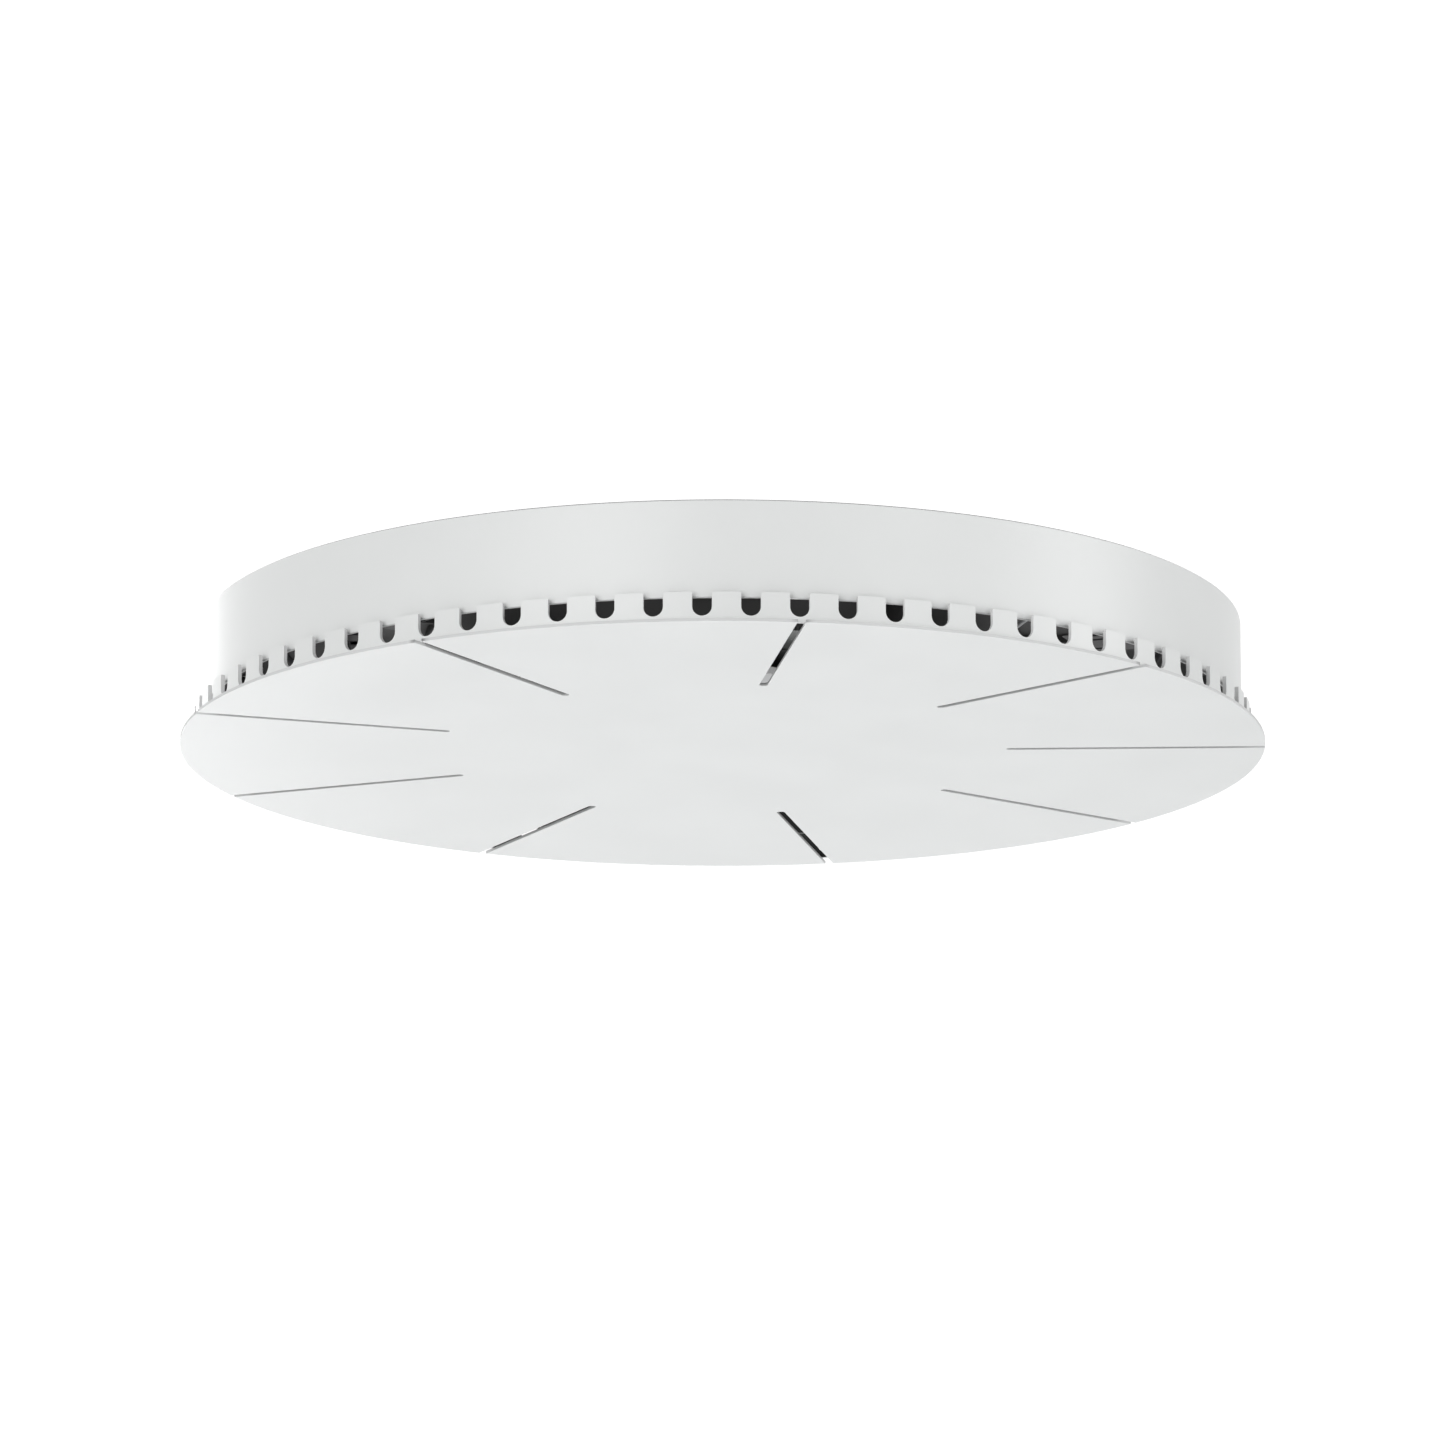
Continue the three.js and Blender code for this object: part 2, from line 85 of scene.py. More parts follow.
def makeCamera():
    data = bpy.data.cameras.new("studioCamera")
    data.lens = cameraSet["lens"]
    data.sensor_width = cameraSet["sensor"]
    data.clip_end = cameraSet["farClip"]
    camera = bpy.data.objects.new("studioCamera", data)
    away = cameraSet["distance"] * plateRadius
    below, swing = math.radians(cameraSet["below"]), math.radians(cameraSet["swing"])
    level = away * math.cos(below)
    camera.location = (
        level * math.sin(swing),
        -level * math.cos(swing),
        coverBottom - away * math.sin(below),
    )
    camera.rotation_euler = (math.radians(90 + cameraSet["pitch"]), 0, swing)
    scene.collection.objects.link(camera)
    scene.camera = camera


studio = {
    "front": 0.42,            # brightness of the room behind the camera
    "back": 1.10,             # and of the wall behind the object
    "turnover": (-0.1, 0.6),  # how far back the room turns from one to the other
    "rightDim": 0.45,         # the room's right side, against its middle and left
    "rightTurn": (0.2, 0.6),  # where it dims
    "tint": (1, 1, 1),
    "floor": -4.0,            # metres, far under the ceiling
    "floorHalf": 60,
    "distance": 3.0,          # from the object to the softboxes
    "innerLamps": [           # lamps in the hollow: height over the underside, radius, watts
        (1.7, 197, 0.24),
        (26.0, 92, 0.022),
    ],
    "boxes": [                # azimuth from the camera, elevation, width, height, watts
        (-165, 0, 0.8, 2.0, 13),
        (-150, 0, 0.8, 2.0, 11.5),
        (-130, 0, 0.8, 2.0, 2),
        (-36, 0, 0.8, 2.0, 16.5),
        (-20, 0, 0.8, 2.0, 21.5),
        (40, 0, 0.8, 2.0, 7),
        (72, 0, 0.8, 2.0, 15),
        (86, 0, 0.8, 2.0, 21.5),
        (180, -50, 0.8, 2.0, 32),
    ],
}


def makeWorld():
    world = bpy.data.worlds.new("studioWorld")
    world.use_nodes = True
    scene.world = world
    tree = world.node_tree
    light = tree.nodes["Background"]
    split = tree.nodes.new("ShaderNodeSeparateXYZ")
    tree.links.new(tree.nodes.new("ShaderNodeTexCoord").outputs["Generated"], split.inputs[0])
    near, far = studio["turnover"]
    depth = rangeOf(tree, split.outputs["Y"], studio["front"], studio["back"], near, far)
    dimming = rangeOf(tree, split.outputs["X"], 1, studio["rightDim"], *studio["rightTurn"])
    tree.links.new(mathOf(tree, "MULTIPLY", depth, dimming), light.inputs["Strength"])
    light.inputs["Color"].default_value = (*studio["tint"], 1)


def aroundObject(azimuth, elevation):
    # a place on the studio's circle, and the turn that faces the object from it
    turn = math.radians(azimuth + cameraSet["swing"])
    lift = math.radians(elevation)
    way = Vector((math.sin(turn) * math.cos(lift), -math.cos(turn) * math.cos(lift), math.sin(lift)))
    return way * studio["distance"], way.to_track_quat("Z", "Y").to_euler()


def makeLights():
    for i, (azimuth, elevation, width, height, watts) in enumerate(studio["boxes"]):
        data = bpy.data.lights.new(f"softbox{i + 1}", "AREA")
        data.shape = "RECTANGLE"
        data.size = width
        data.size_y = height
        data.energy = watts
        lamp = bpy.data.objects.new(data.name, data)
        lamp.location, lamp.rotation_euler = aroundObject(azimuth, elevation)
        scene.collection.objects.link(lamp)
        lamp.visible_camera = False
    for i, (height, radius, watts) in enumerate(studio["innerLamps"]):
        data = bpy.data.lights.new(f"innerLamp{i + 1}", "AREA")
        data.shape = "DISK"
        data.size = 2 * radius * mm
        data.energy = watts
        lamp = bpy.data.objects.new(data.name, data)
        lamp.location.z = coverBottom + height * mm
        lamp.rotation_euler = (math.pi, 0, 0)          # shines up
        lamp.visible_camera = False
        scene.collection.objects.link(lamp)


def makeFloor():
    size = studio["floorHalf"]
    mesh = bpy.data.meshes.new("floor")
    corners = [(-size, -size, 0), (size, -size, 0), (size, size, 0), (-size, size, 0)]
    mesh.from_pydata(corners, [], [(0, 1, 2, 3)])
    floor = bpy.data.objects.new("floor", mesh)
    floor.location.z = studio["floor"]
    scene.collection.objects.link(floor)
    mesh.materials.append(floorPaint())


def startMaterial(name):
    material = bpy.data.materials.new(name)
    material.use_nodes = True
    tree = material.node_tree
    tree.nodes.clear()
    shader = tree.nodes.new("ShaderNodeBsdfPrincipled")
    out = tree.nodes.new("ShaderNodeOutputMaterial")
    tree.links.new(shader.outputs[0], out.inputs[0])
    return material, tree, shader


def objectPlace(tree):
    return tree.nodes.new("ShaderNodeTexCoord").outputs["Object"]


def noiseOf(tree, place, scale, detail=2.0, roughness=0.5, stretch=None):
    if stretch:
        mapping = tree.nodes.new("ShaderNodeMapping")
        mapping.inputs["Scale"].default_value = stretch
        tree.links.new(place, mapping.inputs[0])
        place = mapping.outputs[0]
    noise = tree.nodes.new("ShaderNodeTexNoise")
    noise.inputs["Scale"].default_value = scale
    noise.inputs["Detail"].default_value = detail
    noise.inputs["Roughness"].default_value = roughness
    tree.links.new(place, noise.inputs["Vector"])
    return noise.outputs["Fac"]


def rangeOf(tree, value, low, high, fromLow=0.3, fromHigh=0.7):
    node = tree.nodes.new("ShaderNodeMapRange")
    node.inputs["From Min"].default_value = fromLow
    node.inputs["From Max"].default_value = fromHigh
    node.inputs["To Min"].default_value = low
    node.inputs["To Max"].default_value = high
    tree.links.new(value, node.inputs["Value"])
    return node.outputs["Result"]


def mixOf(tree, amount, first, second):
    # first and second are colours or sockets
    node = tree.nodes.new("ShaderNodeMix")
    node.data_type = "RGBA"
    for socket, value in ((node.inputs[6], first), (node.inputs[7], second)):
        if isinstance(value, bpy.types.NodeSocket):
            tree.links.new(value, socket)
        else:
            socket.default_value = (*value, 1)
    if isinstance(amount, bpy.types.NodeSocket):
        tree.links.new(amount, node.inputs[0])
    else:
        node.inputs[0].default_value = amount
    return node.outputs[2]


def mathOf(tree, kind, first, second=0.0):
    node = tree.nodes.new("ShaderNodeMath")
    node.operation = kind
    for socket, value in zip(node.inputs, (first, second)):
        if isinstance(value, bpy.types.NodeSocket):
            tree.links.new(value, socket)
        else:
            socket.default_value = value
    return node.outputs[0]


def bumpTo(tree, shader, height, strength, distance):
    bump = tree.nodes.new("ShaderNodeBump")
    bump.inputs["Strength"].default_value = strength
    bump.inputs["Distance"].default_value = distance
    tree.links.new(height, bump.inputs["Height"])
    tree.links.new(bump.outputs[0], shader.inputs["Normal"])


floorLook = {"scale": 0.6, "dark": (0.86, 0.87, 0.875), "light": (0.89, 0.895, 0.9), "rough": 0.8}


def floorPaint():
    material, tree, shader = startMaterial("floorPaint")
    cloud = noiseOf(tree, objectPlace(tree), floorLook["scale"], 3)
    colour = mixOf(tree, rangeOf(tree, cloud, 0, 1), floorLook["dark"], floorLook["light"])
    tree.links.new(colour, shader.inputs["Base Color"])
    shader.inputs["Roughness"].default_value = floorLook["rough"]
    return material


satinLook = {                 # the same for every moulded or painted skin
    "mottling": 28,           # noise scales count over a metre
    "fineRoughness": 0.6,
    "cloudShare": 0.5,        # of the mottling in the gloss, the rest is the fine grain
    "fineShare": 0.5,
    "coatRoughness": 0.25,
    "bump": 0.5,
}


def satinMaterial(name, colour, shade, rough, grain, relief, metal=0.0, coat=0.0):
    # a moulded or painted skin: faint mottling, a fine grain in roughness and relief
    material, tree, shader = startMaterial(name)
    place = objectPlace(tree)
    cloud = noiseOf(tree, place, satinLook["mottling"], 3)
    fine = noiseOf(tree, place, grain, 2, satinLook["fineRoughness"])
    darker = tuple(c * shade for c in colour)
    tree.links.new(mixOf(tree, rangeOf(tree, cloud, 0, 1), darker, colour), shader.inputs["Base Color"])
    cloudPart = mathOf(tree, "MULTIPLY", cloud, satinLook["cloudShare"])
    finePart = mathOf(tree, "MULTIPLY", fine, satinLook["fineShare"])
    mixed = mathOf(tree, "ADD", cloudPart, finePart)
    tree.links.new(rangeOf(tree, mixed, rough[0], rough[1]), shader.inputs["Roughness"])
    shader.inputs["Metallic"].default_value = metal
    if coat:
        shader.inputs["Coat Weight"].default_value = coat
        shader.inputs["Coat Roughness"].default_value = satinLook["coatRoughness"]
    bumpTo(tree, shader, fine, satinLook["bump"], relief)
    return material


brushedLook = {               # the same for both rolled sheets
    "lines": 260,
    "lineRoughness": 0.7,
    "spots": 90,
    "spotRoughness": 0.6,
    "spotRange": (0.35, 0.75),
    "spotShade": 0.82,
    "lineShare": 0.6,
    "spotShare": 0.4,
    "bump": 0.35,
}


def brushedMaterial(name, colour, rough, stretch, relief):
    # rolled or brushed sheet: long fine lines, with small spots of wear
    look = brushedLook
    material, tree, shader = startMaterial(name)
    place = objectPlace(tree)
    lines = noiseOf(tree, place, look["lines"], 3, look["lineRoughness"], stretch)
    spots = noiseOf(tree, place, look["spots"], 4, look["spotRoughness"])
    darker = tuple(c * look["spotShade"] for c in colour)
    mottled = mixOf(tree, rangeOf(tree, spots, 0, 1, *look["spotRange"]), colour, darker)
    tree.links.new(mottled, shader.inputs["Base Color"])
    linePart = mathOf(tree, "MULTIPLY", lines, look["lineShare"])
    spotPart = mathOf(tree, "MULTIPLY", spots, look["spotShare"])
    both = mathOf(tree, "ADD", linePart, spotPart)
    tree.links.new(rangeOf(tree, both, rough[0], rough[1]), shader.inputs["Roughness"])
    shader.inputs["Metallic"].default_value = 1.0
    bumpTo(tree, shader, lines, look["bump"], relief)
    return material


boardLook = {
    "cells": 190,             # noise scales count over a metre
    "cellRandomness": 0.75,
    "tracks": 260,
    "trackGap": 0.035,
    "trackColours": {"Color1": (0, 0, 0, 1), "Color2": (0.25, 0.25, 0.25, 1), "Mortar": (1, 1, 1, 1)},
    "regions": 34,
    "regionRange": (0.45, 0.55),
    "viaRange": (0.05, 0.11),
    "baseColours": [(0.034, 0.038, 0.036), (0.055, 0.060, 0.057)],
    "trackColour": (0.12, 0.125, 0.12),
    "trackShare": 0.8,
    "viaColour": (0.34, 0.335, 0.32),
    "viaShare": 0.75,
    "rough": 0.34,
    "coat": (0.3, 0.2),       # weight and roughness
    "bump": (0.4, 6e-5),      # strength, and height in metres
}


def boardMaterial():
    # solder lacquer over copper: a grid of fine tracks, via dots and the laminate's weave
    look = boardLook
    material, tree, shader = startMaterial("boardLacquer")
    place = objectPlace(tree)
    cells = tree.nodes.new("ShaderNodeTexVoronoi")
    cells.distance = "MANHATTAN"
    cells.inputs["Scale"].default_value = look["cells"]
    cells.inputs["Randomness"].default_value = look["cellRandomness"]
    tree.links.new(place, cells.inputs["Vector"])
    edges = tree.nodes.new("ShaderNodeTexBrick")
    edges.inputs["Scale"].default_value = look["tracks"]
    edges.inputs["Mortar Size"].default_value = look["trackGap"]
    for socket, colour in look["trackColours"].items():
        edges.inputs[socket].default_value = colour
    tree.links.new(place, edges.inputs["Vector"])
    regions = noiseOf(tree, place, look["regions"], 2)
    copper = rangeOf(tree, regions, 0, 1, *look["regionRange"])
    tracks = mathOf(tree, "MULTIPLY", edges.outputs["Fac"], copper)
    vias = rangeOf(tree, cells.outputs["Distance"], 1, 0, *look["viaRange"])
    base = mixOf(tree, rangeOf(tree, regions, 0, 1), *look["baseColours"])
    tracked = mixOf(tree, mathOf(tree, "MULTIPLY", tracks, look["trackShare"]), base, look["trackColour"])
    colour = mixOf(tree, mathOf(tree, "MULTIPLY", vias, look["viaShare"]), tracked, look["viaColour"])
    tree.links.new(colour, shader.inputs["Base Color"])
    shader.inputs["Roughness"].default_value = look["rough"]
    shader.inputs["Coat Weight"].default_value, shader.inputs["Coat Roughness"].default_value = look["coat"]
    bumpTo(tree, shader, mathOf(tree, "ADD", tracks, vias), *look["bump"])
    return material


finishes = {
    # shade darkens the mottling, grain is the scale of the relief and relief its height in metres
    "satinWhite": {
        "colour": (0.80, 0.812, 0.806), "shade": 0.985, "rough": (0.33, 0.42),
        "grain": 1500, "relief": 4e-5,
    },
    # painted shade: a darker copy of satinWhite for the side faces of the cover and the vent ring
    "paintedShadeWhite": {
        "colour": (0.68, 0.685, 0.685), "shade": 0.96, "rough": (0.55, 0.7),
        "grain": 2600, "relief": 5e-5,
    },
    "matteBlack": {
        "colour": (0.040, 0.0405, 0.041), "shade": 0.8, "rough": (0.5, 0.65),
        "grain": 2100, "relief": 6e-5,
    },
    "softRubber": {
        "colour": (0.016, 0.016, 0.017), "shade": 0.7, "rough": (0.7, 0.85),
        "grain": 1700, "relief": 8e-5,
    },
    "chipBlack": {
        "colour": (0.02, 0.0205, 0.022), "shade": 0.8, "rough": (0.35, 0.5),
        "grain": 3200, "relief": 3e-5,
    },
    "siliconePad": {
        "colour": (0.33, 0.38, 0.44), "shade": 0.85, "rough": (0.6, 0.75),
        "grain": 1400, "relief": 1e-4,
    },
    "greyJacket": {
        "colour": (0.46, 0.47, 0.48), "shade": 0.9, "rough": (0.38, 0.5),
        "grain": 1800, "relief": 3e-5, "coat": 0.2,
    },
    "jackPlastic": {
        "colour": (0.03, 0.03, 0.032), "shade": 0.85, "rough": (0.35, 0.45),
        "grain": 2400, "relief": 3e-5,
    },
    "blackenedTin": {
        "colour": (0.045, 0.045, 0.047), "shade": 0.8, "rough": (0.4, 0.52),
        "grain": 1900, "relief": 3e-5,
    },
    "filmBlack": {
        "colour": (0.055, 0.055, 0.056), "shade": 0.85, "rough": (0.3, 0.4),
        "grain": 700, "relief": 2e-5,
    },
    "blastedAluminium": {
        "colour": (0.54, 0.543, 0.546), "shade": 0.96, "rough": (0.5, 0.62),
        "grain": 2400, "relief": 8e-5, "metal": 0.25,
    },
    "milledAluminium": {
        "colour": (0.88, 0.883, 0.886), "shade": 0.97, "rough": (0.4, 0.5),
        "grain": 1800, "relief": 3e-5, "metal": 0.1,
    },
    "nickelPlate": {
        "colour": (0.56, 0.55, 0.53), "shade": 0.92, "rough": (0.12, 0.24),
        "grain": 900, "relief": 1e-5, "metal": 1.0,
    },
    "goldContact": {
        "colour": (0.75, 0.55, 0.2), "shade": 0.9, "rough": (0.2, 0.3),
        "grain": 1500, "relief": 1e-5, "metal": 1.0,
    },
}

rolledSheets = {
    "zincPlate": {"colour": (0.46, 0.468, 0.48), "rough": (0.30, 0.44), "stretch": (1, 9, 1), "relief": 3e-5},
    "tinPlate": {"colour": (0.66, 0.655, 0.64), "rough": (0.22, 0.36), "stretch": (9, 1, 1), "relief": 2e-5},
}


def makeMaterials():
    made = {name: satinMaterial(name, **look) for name, look in finishes.items()}
    made.update({name: brushedMaterial(name, **look) for name, look in rolledSheets.items()})
    made["boardLacquer"] = boardMaterial()
    print("materials made", len(made))
    return made


def addObject(name, mesh, materials):
    piece = bpy.data.objects.new(name, mesh)
    scene.collection.objects.link(piece)
    for key in materials:
        mesh.materials.append(skins[key])
    return piece


def softEdges(piece, width, segments=3, angle=30):
    # a small rounded edge, with the flats kept flat in the shading
    for face in piece.data.polygons:
        face.use_smooth = True
    if width:
        bevel = piece.modifiers.new("edgeRound", "BEVEL")
        bevel.width = width
        bevel.segments = segments
        bevel.limit_method = "ANGLE"
        bevel.angle_limit = math.radians(angle)
        bevel.harden_normals = True
        bevel.use_clamp_overlap = True
    else:
        weighted = piece.modifiers.new("flatShade", "WEIGHTED_NORMAL")
        weighted.keep_sharp = True


def settle(piece, body, slot, *nodes):
    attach(piece, body)
    if nodes:
        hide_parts(*nodes)


def circleLoop(radius, count=64, x=0.0, y=0.0, start=0.0):
    return [
        (
            x + radius * math.cos(start + 2 * math.pi * i / count),
            y + radius * math.sin(start + 2 * math.pi * i / count),
        )
        for i in range(count)
    ]


def arcPoints(x, y, radius, fromAngle, toAngle, count):
    return [
        (
            x + radius * math.cos(fromAngle + (toAngle - fromAngle) * i / count),
            y + radius * math.sin(fromAngle + (toAngle - fromAngle) * i / count),
        )
        for i in range(count + 1)
    ]


def roundedLoop(corners, radius, count=6):
    # a closed outline with each corner turned into an arc
    made = []
    for i, corner in enumerate(corners):
        here = Vector(corner)
        before, after = Vector(corners[i - 1]), Vector(corners[(i + 1) % len(corners)])
        toBefore, toAfter = (before - here).normalized(), (after - here).normalized()
        opening = toBefore.angle(toAfter)
        if opening > math.radians(178):
            made.append(tuple(here))
            continue
        shorter = min((before - here).length, (after - here).length)
        reach = min(radius / math.tan(opening / 2), 0.45 * shorter)
        trueRadius = reach * math.tan(opening / 2)
        centre = here + (toBefore + toAfter).normalized() * (trueRadius / math.sin(opening / 2))
        first, last = here + toBefore * reach - centre, here + toAfter * reach - centre
        sweep = math.atan2(first.x * last.y - first.y * last.x, first.dot(last))
        begin = math.atan2(first.y, first.x)
        made += arcPoints(centre.x, centre.y, trueRadius, begin, begin + sweep, count)
    return made


def rectLoop(lowX, lowY, highX, highY, radius, count=5):
    return roundedLoop([(lowX, lowY), (highX, lowY), (highX, highY), (lowX, highY)], radius, count)


def plateMesh(name, loops, bottom, top, edge, edgeSteps=2):
    # a flat plate: the first loop is its outline and the rest are holes, with rounded edges all round
    curve = bpy.data.curves.new(name, "CURVE")
    curve.dimensions = "2D"
    curve.fill_mode = "BOTH"
    curve.extrude = (top - bottom) / 2 - edge
    curve.bevel_depth = edge
    curve.bevel_resolution = edgeSteps
    for loop in loops:
        spline = curve.splines.new("POLY")
        spline.points.add(len(loop) - 1)
        for point, (x, y) in zip(spline.points, loop):
            point.co = (x, y, 0, 1)
        spline.use_cyclic_u = True
    holder = bpy.data.objects.new(name + "Curve", curve)
    scene.collection.objects.link(holder)
    bpy.context.view_layer.update()
    mesh = bpy.data.meshes.new_from_object(holder.evaluated_get(bpy.context.evaluated_depsgraph_get()))
    bpy.data.objects.remove(holder)
    bpy.data.curves.remove(curve)
    mesh.name = name
    mesh.transform(Matrix.Translation((0, 0, (bottom + top) / 2)))
    built = bmesh.new()
    built.from_mesh(mesh)
    bmesh.ops.remove_doubles(built, verts=built.verts, dist=2e-6)
    bmesh.ops.recalc_face_normals(built, faces=built.faces)
    built.to_mesh(mesh)
    built.free()
    mesh.materials.clear()
    return mesh


def lathedMesh(name, profile, steps, x=0.0, y=0.0, closed=True):
    # profile points are (radius, z); a point on the axis becomes one vertex
    built = bmesh.new()
    rings = []
    for radius, z in profile:
        if radius < 1e-7:
            rings.append([built.verts.new((x, y, z))] * steps)
        else:
            rings.append([built.verts.new((px, py, z)) for px, py in circleLoop(radius, steps, x, y)])
    pairs = list(zip(rings, rings[1:])) + ([(rings[-1], rings[0])] if closed else [])
    for lower, upper in pairs:
        for i in range(steps):
            j = (i + 1) % steps
            corners = []
            for vertex in (lower[i], lower[j], upper[j], upper[i]):
                if vertex not in corners:
                    corners.append(vertex)
            if len(corners) > 2:
                built.faces.new(corners)
    bmesh.ops.recalc_face_normals(built, faces=built.faces)
    mesh = bpy.data.meshes.new(name)
    built.to_mesh(mesh)
    built.free()
    return mesh


def joined(name, meshes):
    built = bmesh.new()
    for mesh in meshes:
        built.from_mesh(mesh)
        bpy.data.meshes.remove(mesh)
    mesh = bpy.data.meshes.new(name)
    built.to_mesh(mesh)
    built.free()
    return mesh


def boxMesh(low, high, radius, segments=2):
    built = bmesh.new()
    bmesh.ops.create_cube(built, size=1)
    low, high = Vector(low), Vector(high)
    for vertex in built.verts:
        vertex.co = (low + high) / 2 + Vector(a * b for a, b in zip(vertex.co, high - low))
    if radius:
        bmesh.ops.bevel(
            built, geom=built.edges, offset=radius, segments=segments, profile=0.5, affect="EDGES"
        )
    mesh = bpy.data.meshes.new("box")
    built.to_mesh(mesh)
    built.free()
    return mesh


def paint(mesh, index, chosen):
    # chosen is asked of each face's centre and normal
    for face in mesh.polygons:
        if chosen(face.center, face.normal):
            face.material_index = index


def turnedPiece(node, ending, profile, skin, edge, body, slot):
    # a piece turned about the node's own upright axis
    at = middleOf(node)
    mesh = lathedMesh(node + ending, profile, 48, at.x, at.y, closed=False)
    piece = addObject(node + ending, mesh, [skin])
    softEdges(piece, edge)
    settle(piece, body, slot, node)


coverDisc = {
    "slits": 9,
    "sideSlope": 0.6,         # faces steeper than this are side faces, which get the painted shade
    "slitWidth": 3.1 * mm,
    "slitInner": 110 * mm,
    "edge": 0.22 * mm,
    "rimSteps": 40,           # points along the rim between two slits
    "endSteps": 10,           # and round a slit's end
}


def makeCoverDisc():
    low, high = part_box("front_plate")
    edge = coverDisc["edge"]
    rim = plateRadius - edge
    half = coverDisc["slitWidth"] / 2 + edge
    endX = coverDisc["slitInner"] + coverDisc["slitWidth"] / 2
    pitch = 2 * math.pi / coverDisc["slits"]
    mouth = math.asin(half / rim)
    loop = []
    for i in range(coverDisc["slits"]):
        turn = Matrix.Rotation(i * pitch, 2)
        slitSide = [(rim * math.cos(mouth), -half)]
        slitEnd = arcPoints(endX, 0, half, -math.pi / 2, -3 * math.pi / 2, coverDisc["endSteps"])
        rimArc = arcPoints(0, 0, rim, mouth, pitch - mouth, coverDisc["rimSteps"])
        loop += [tuple(turn @ Vector(p)) for p in slitSide + slitEnd + rimArc[:-1]]
    mesh = plateMesh("cover_disc", [loop], low.z, high.z, edge)
    piece = addObject("cover_disc", mesh, ["satinWhite", "paintedShadeWhite"])
    # the rim and the slit sides take the darker white: painted shade on the faces turned sideways
    paint(mesh, 1, lambda centre, normal: abs(normal.z) < coverDisc["sideSlope"])
    softEdges(piece, 0)
    settle(piece, "front_cover", "white_shell", "front_plate")


ventRing = {
    "notches": 72,
    "wall": 1.53 * mm,
    "notchWidth": 7.2 * mm,
    "notchBottom": 3.4 * mm,  # above the underside of the cover
    "cornerRadius": 0.7 * mm,
    "edge": 0.34 * mm,
    "toothSteps": 6,
    "bowlSteps": 8,
    "cornerSteps": 4,
}


def makeVentRing():
    outer = radiusOf("vent_ring")
    inner = outer - ventRing["wall"]
    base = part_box("front_plate")[1].z
    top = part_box("vent_ring")[1].z
    notches, steps = ventRing["notches"], ventRing["toothSteps"]
    half = ventRing["notchWidth"] / 2
    corner = ventRing["cornerRadius"]
    springZ = coverBottom + ventRing["notchBottom"] + half
    pitch = 2 * math.pi * outer / notches
    # one pitch, measured along the wall from the middle of a notch
    bowl = arcPoints(0, springZ, half, -math.pi / 2, 0, ventRing["bowlSteps"])
    rise = arcPoints(half + corner, top - corner, corner, math.pi, math.pi / 2, ventRing["cornerSteps"])
    flat = pitch - 2 * half - 2 * corner
    land = [(half + corner + flat * i / steps, top) for i in range(1, steps)]
    crown = rise + land + [(pitch - s, z) for s, z in reversed(rise)]
    endBowl = [(pitch - s, z) for s, z in reversed(bowl)]
    outline = bowl + crown + endBowl
    columns = [s for s, z in bowl + crown[1:] + endBowl[1:]]
    built = bmesh.new()
    known = {}
    fullTurn = round(2 * math.pi * 1e6)

    def vertexAt(s, z, radius, count):
        angle = (s / pitch + count) * 2 * math.pi / notches
        key = (round(angle % (2 * math.pi) * 1e6) % fullTurn, round(z * 1e7), round(radius * 1e7))
        if key not in known:
            known[key] = built.verts.new((radius * math.cos(angle), radius * math.sin(angle), z))
        return known[key]

    def wallFace(points, radius, count):
        corners = [vertexAt(s, z, radius, count) for s, z in points]
        if radius == inner:
            corners.reverse()
        built.faces.new(corners).material_index = 1 if radius == inner else 0

    for count in range(notches):
        for radius in (outer, inner):
            for (s0, z0), (s1, z1) in list(zip(bowl, bowl[1:])) + list(zip(endBowl, endBowl[1:])):
                wallFace([(s0, base), (s1, base), (s1, z1), (s0, z0)], radius, count)
            for (s0, z0), (s1, z1) in zip(crown, crown[1:]):
                wallFace([(s0, base), (s1, base), (s1, springZ), (s0, springZ)], radius, count)
                wallFace([(s0, springZ), (s1, springZ), (s1, z1), (s0, z0)], radius, count)
        for (s0, z0), (s1, z1) in zip(outline, outline[1:]):
            quad = [(s0, z0, outer), (s1, z1, outer), (s1, z1, inner), (s0, z0, inner)]
            made = built.faces.new([vertexAt(s, z, radius, count) for s, z, radius in quad])
            # notch sides and bowls take the darker white, a painted shade; the tooth tops stay white
            made.material_index = 2 if min(z0, z1) < top - 1e-7 else 0
        for s0, s1 in zip(columns, columns[1:]):
            quad = [(s0, outer), (s0, inner), (s1, inner), (s1, outer)]
            built.faces.new([vertexAt(s, base, radius, count) for s, radius in quad])
    mesh = bpy.data.meshes.new("vent_ring_wall")
    built.to_mesh(mesh)
    built.free()
    piece = addObject("vent_ring_wall", mesh, ["satinWhite", "matteBlack", "paintedShadeWhite"])
    softEdges(piece, ventRing["edge"], 3, 40)
    settle(piece, "front_cover", "white_shell", "vent_ring")


coverPost = {                 # part of the radius, and millimetres up from the foot or down from the top
    "lower": [(1, 0), (1, 0.6), (0.8, 2)],
    "upper": [(0.78, 6), (0.92, 4.5), (0.96, 0.6), (0.88, 0)],
    "edge": 0.25 * mm,
}

postMagnet = {"hole": 1.6 * mm, "mouth": 2.56 * mm, "sink": 0.7 * mm, "depth": 1.4 * mm, "edge": 0.3 * mm}

strikePlate = {"dimple": 0.25 * mm, "dimpleTo": 0.45, "flatFrom": 0.55, "edge": 0.2 * mm}


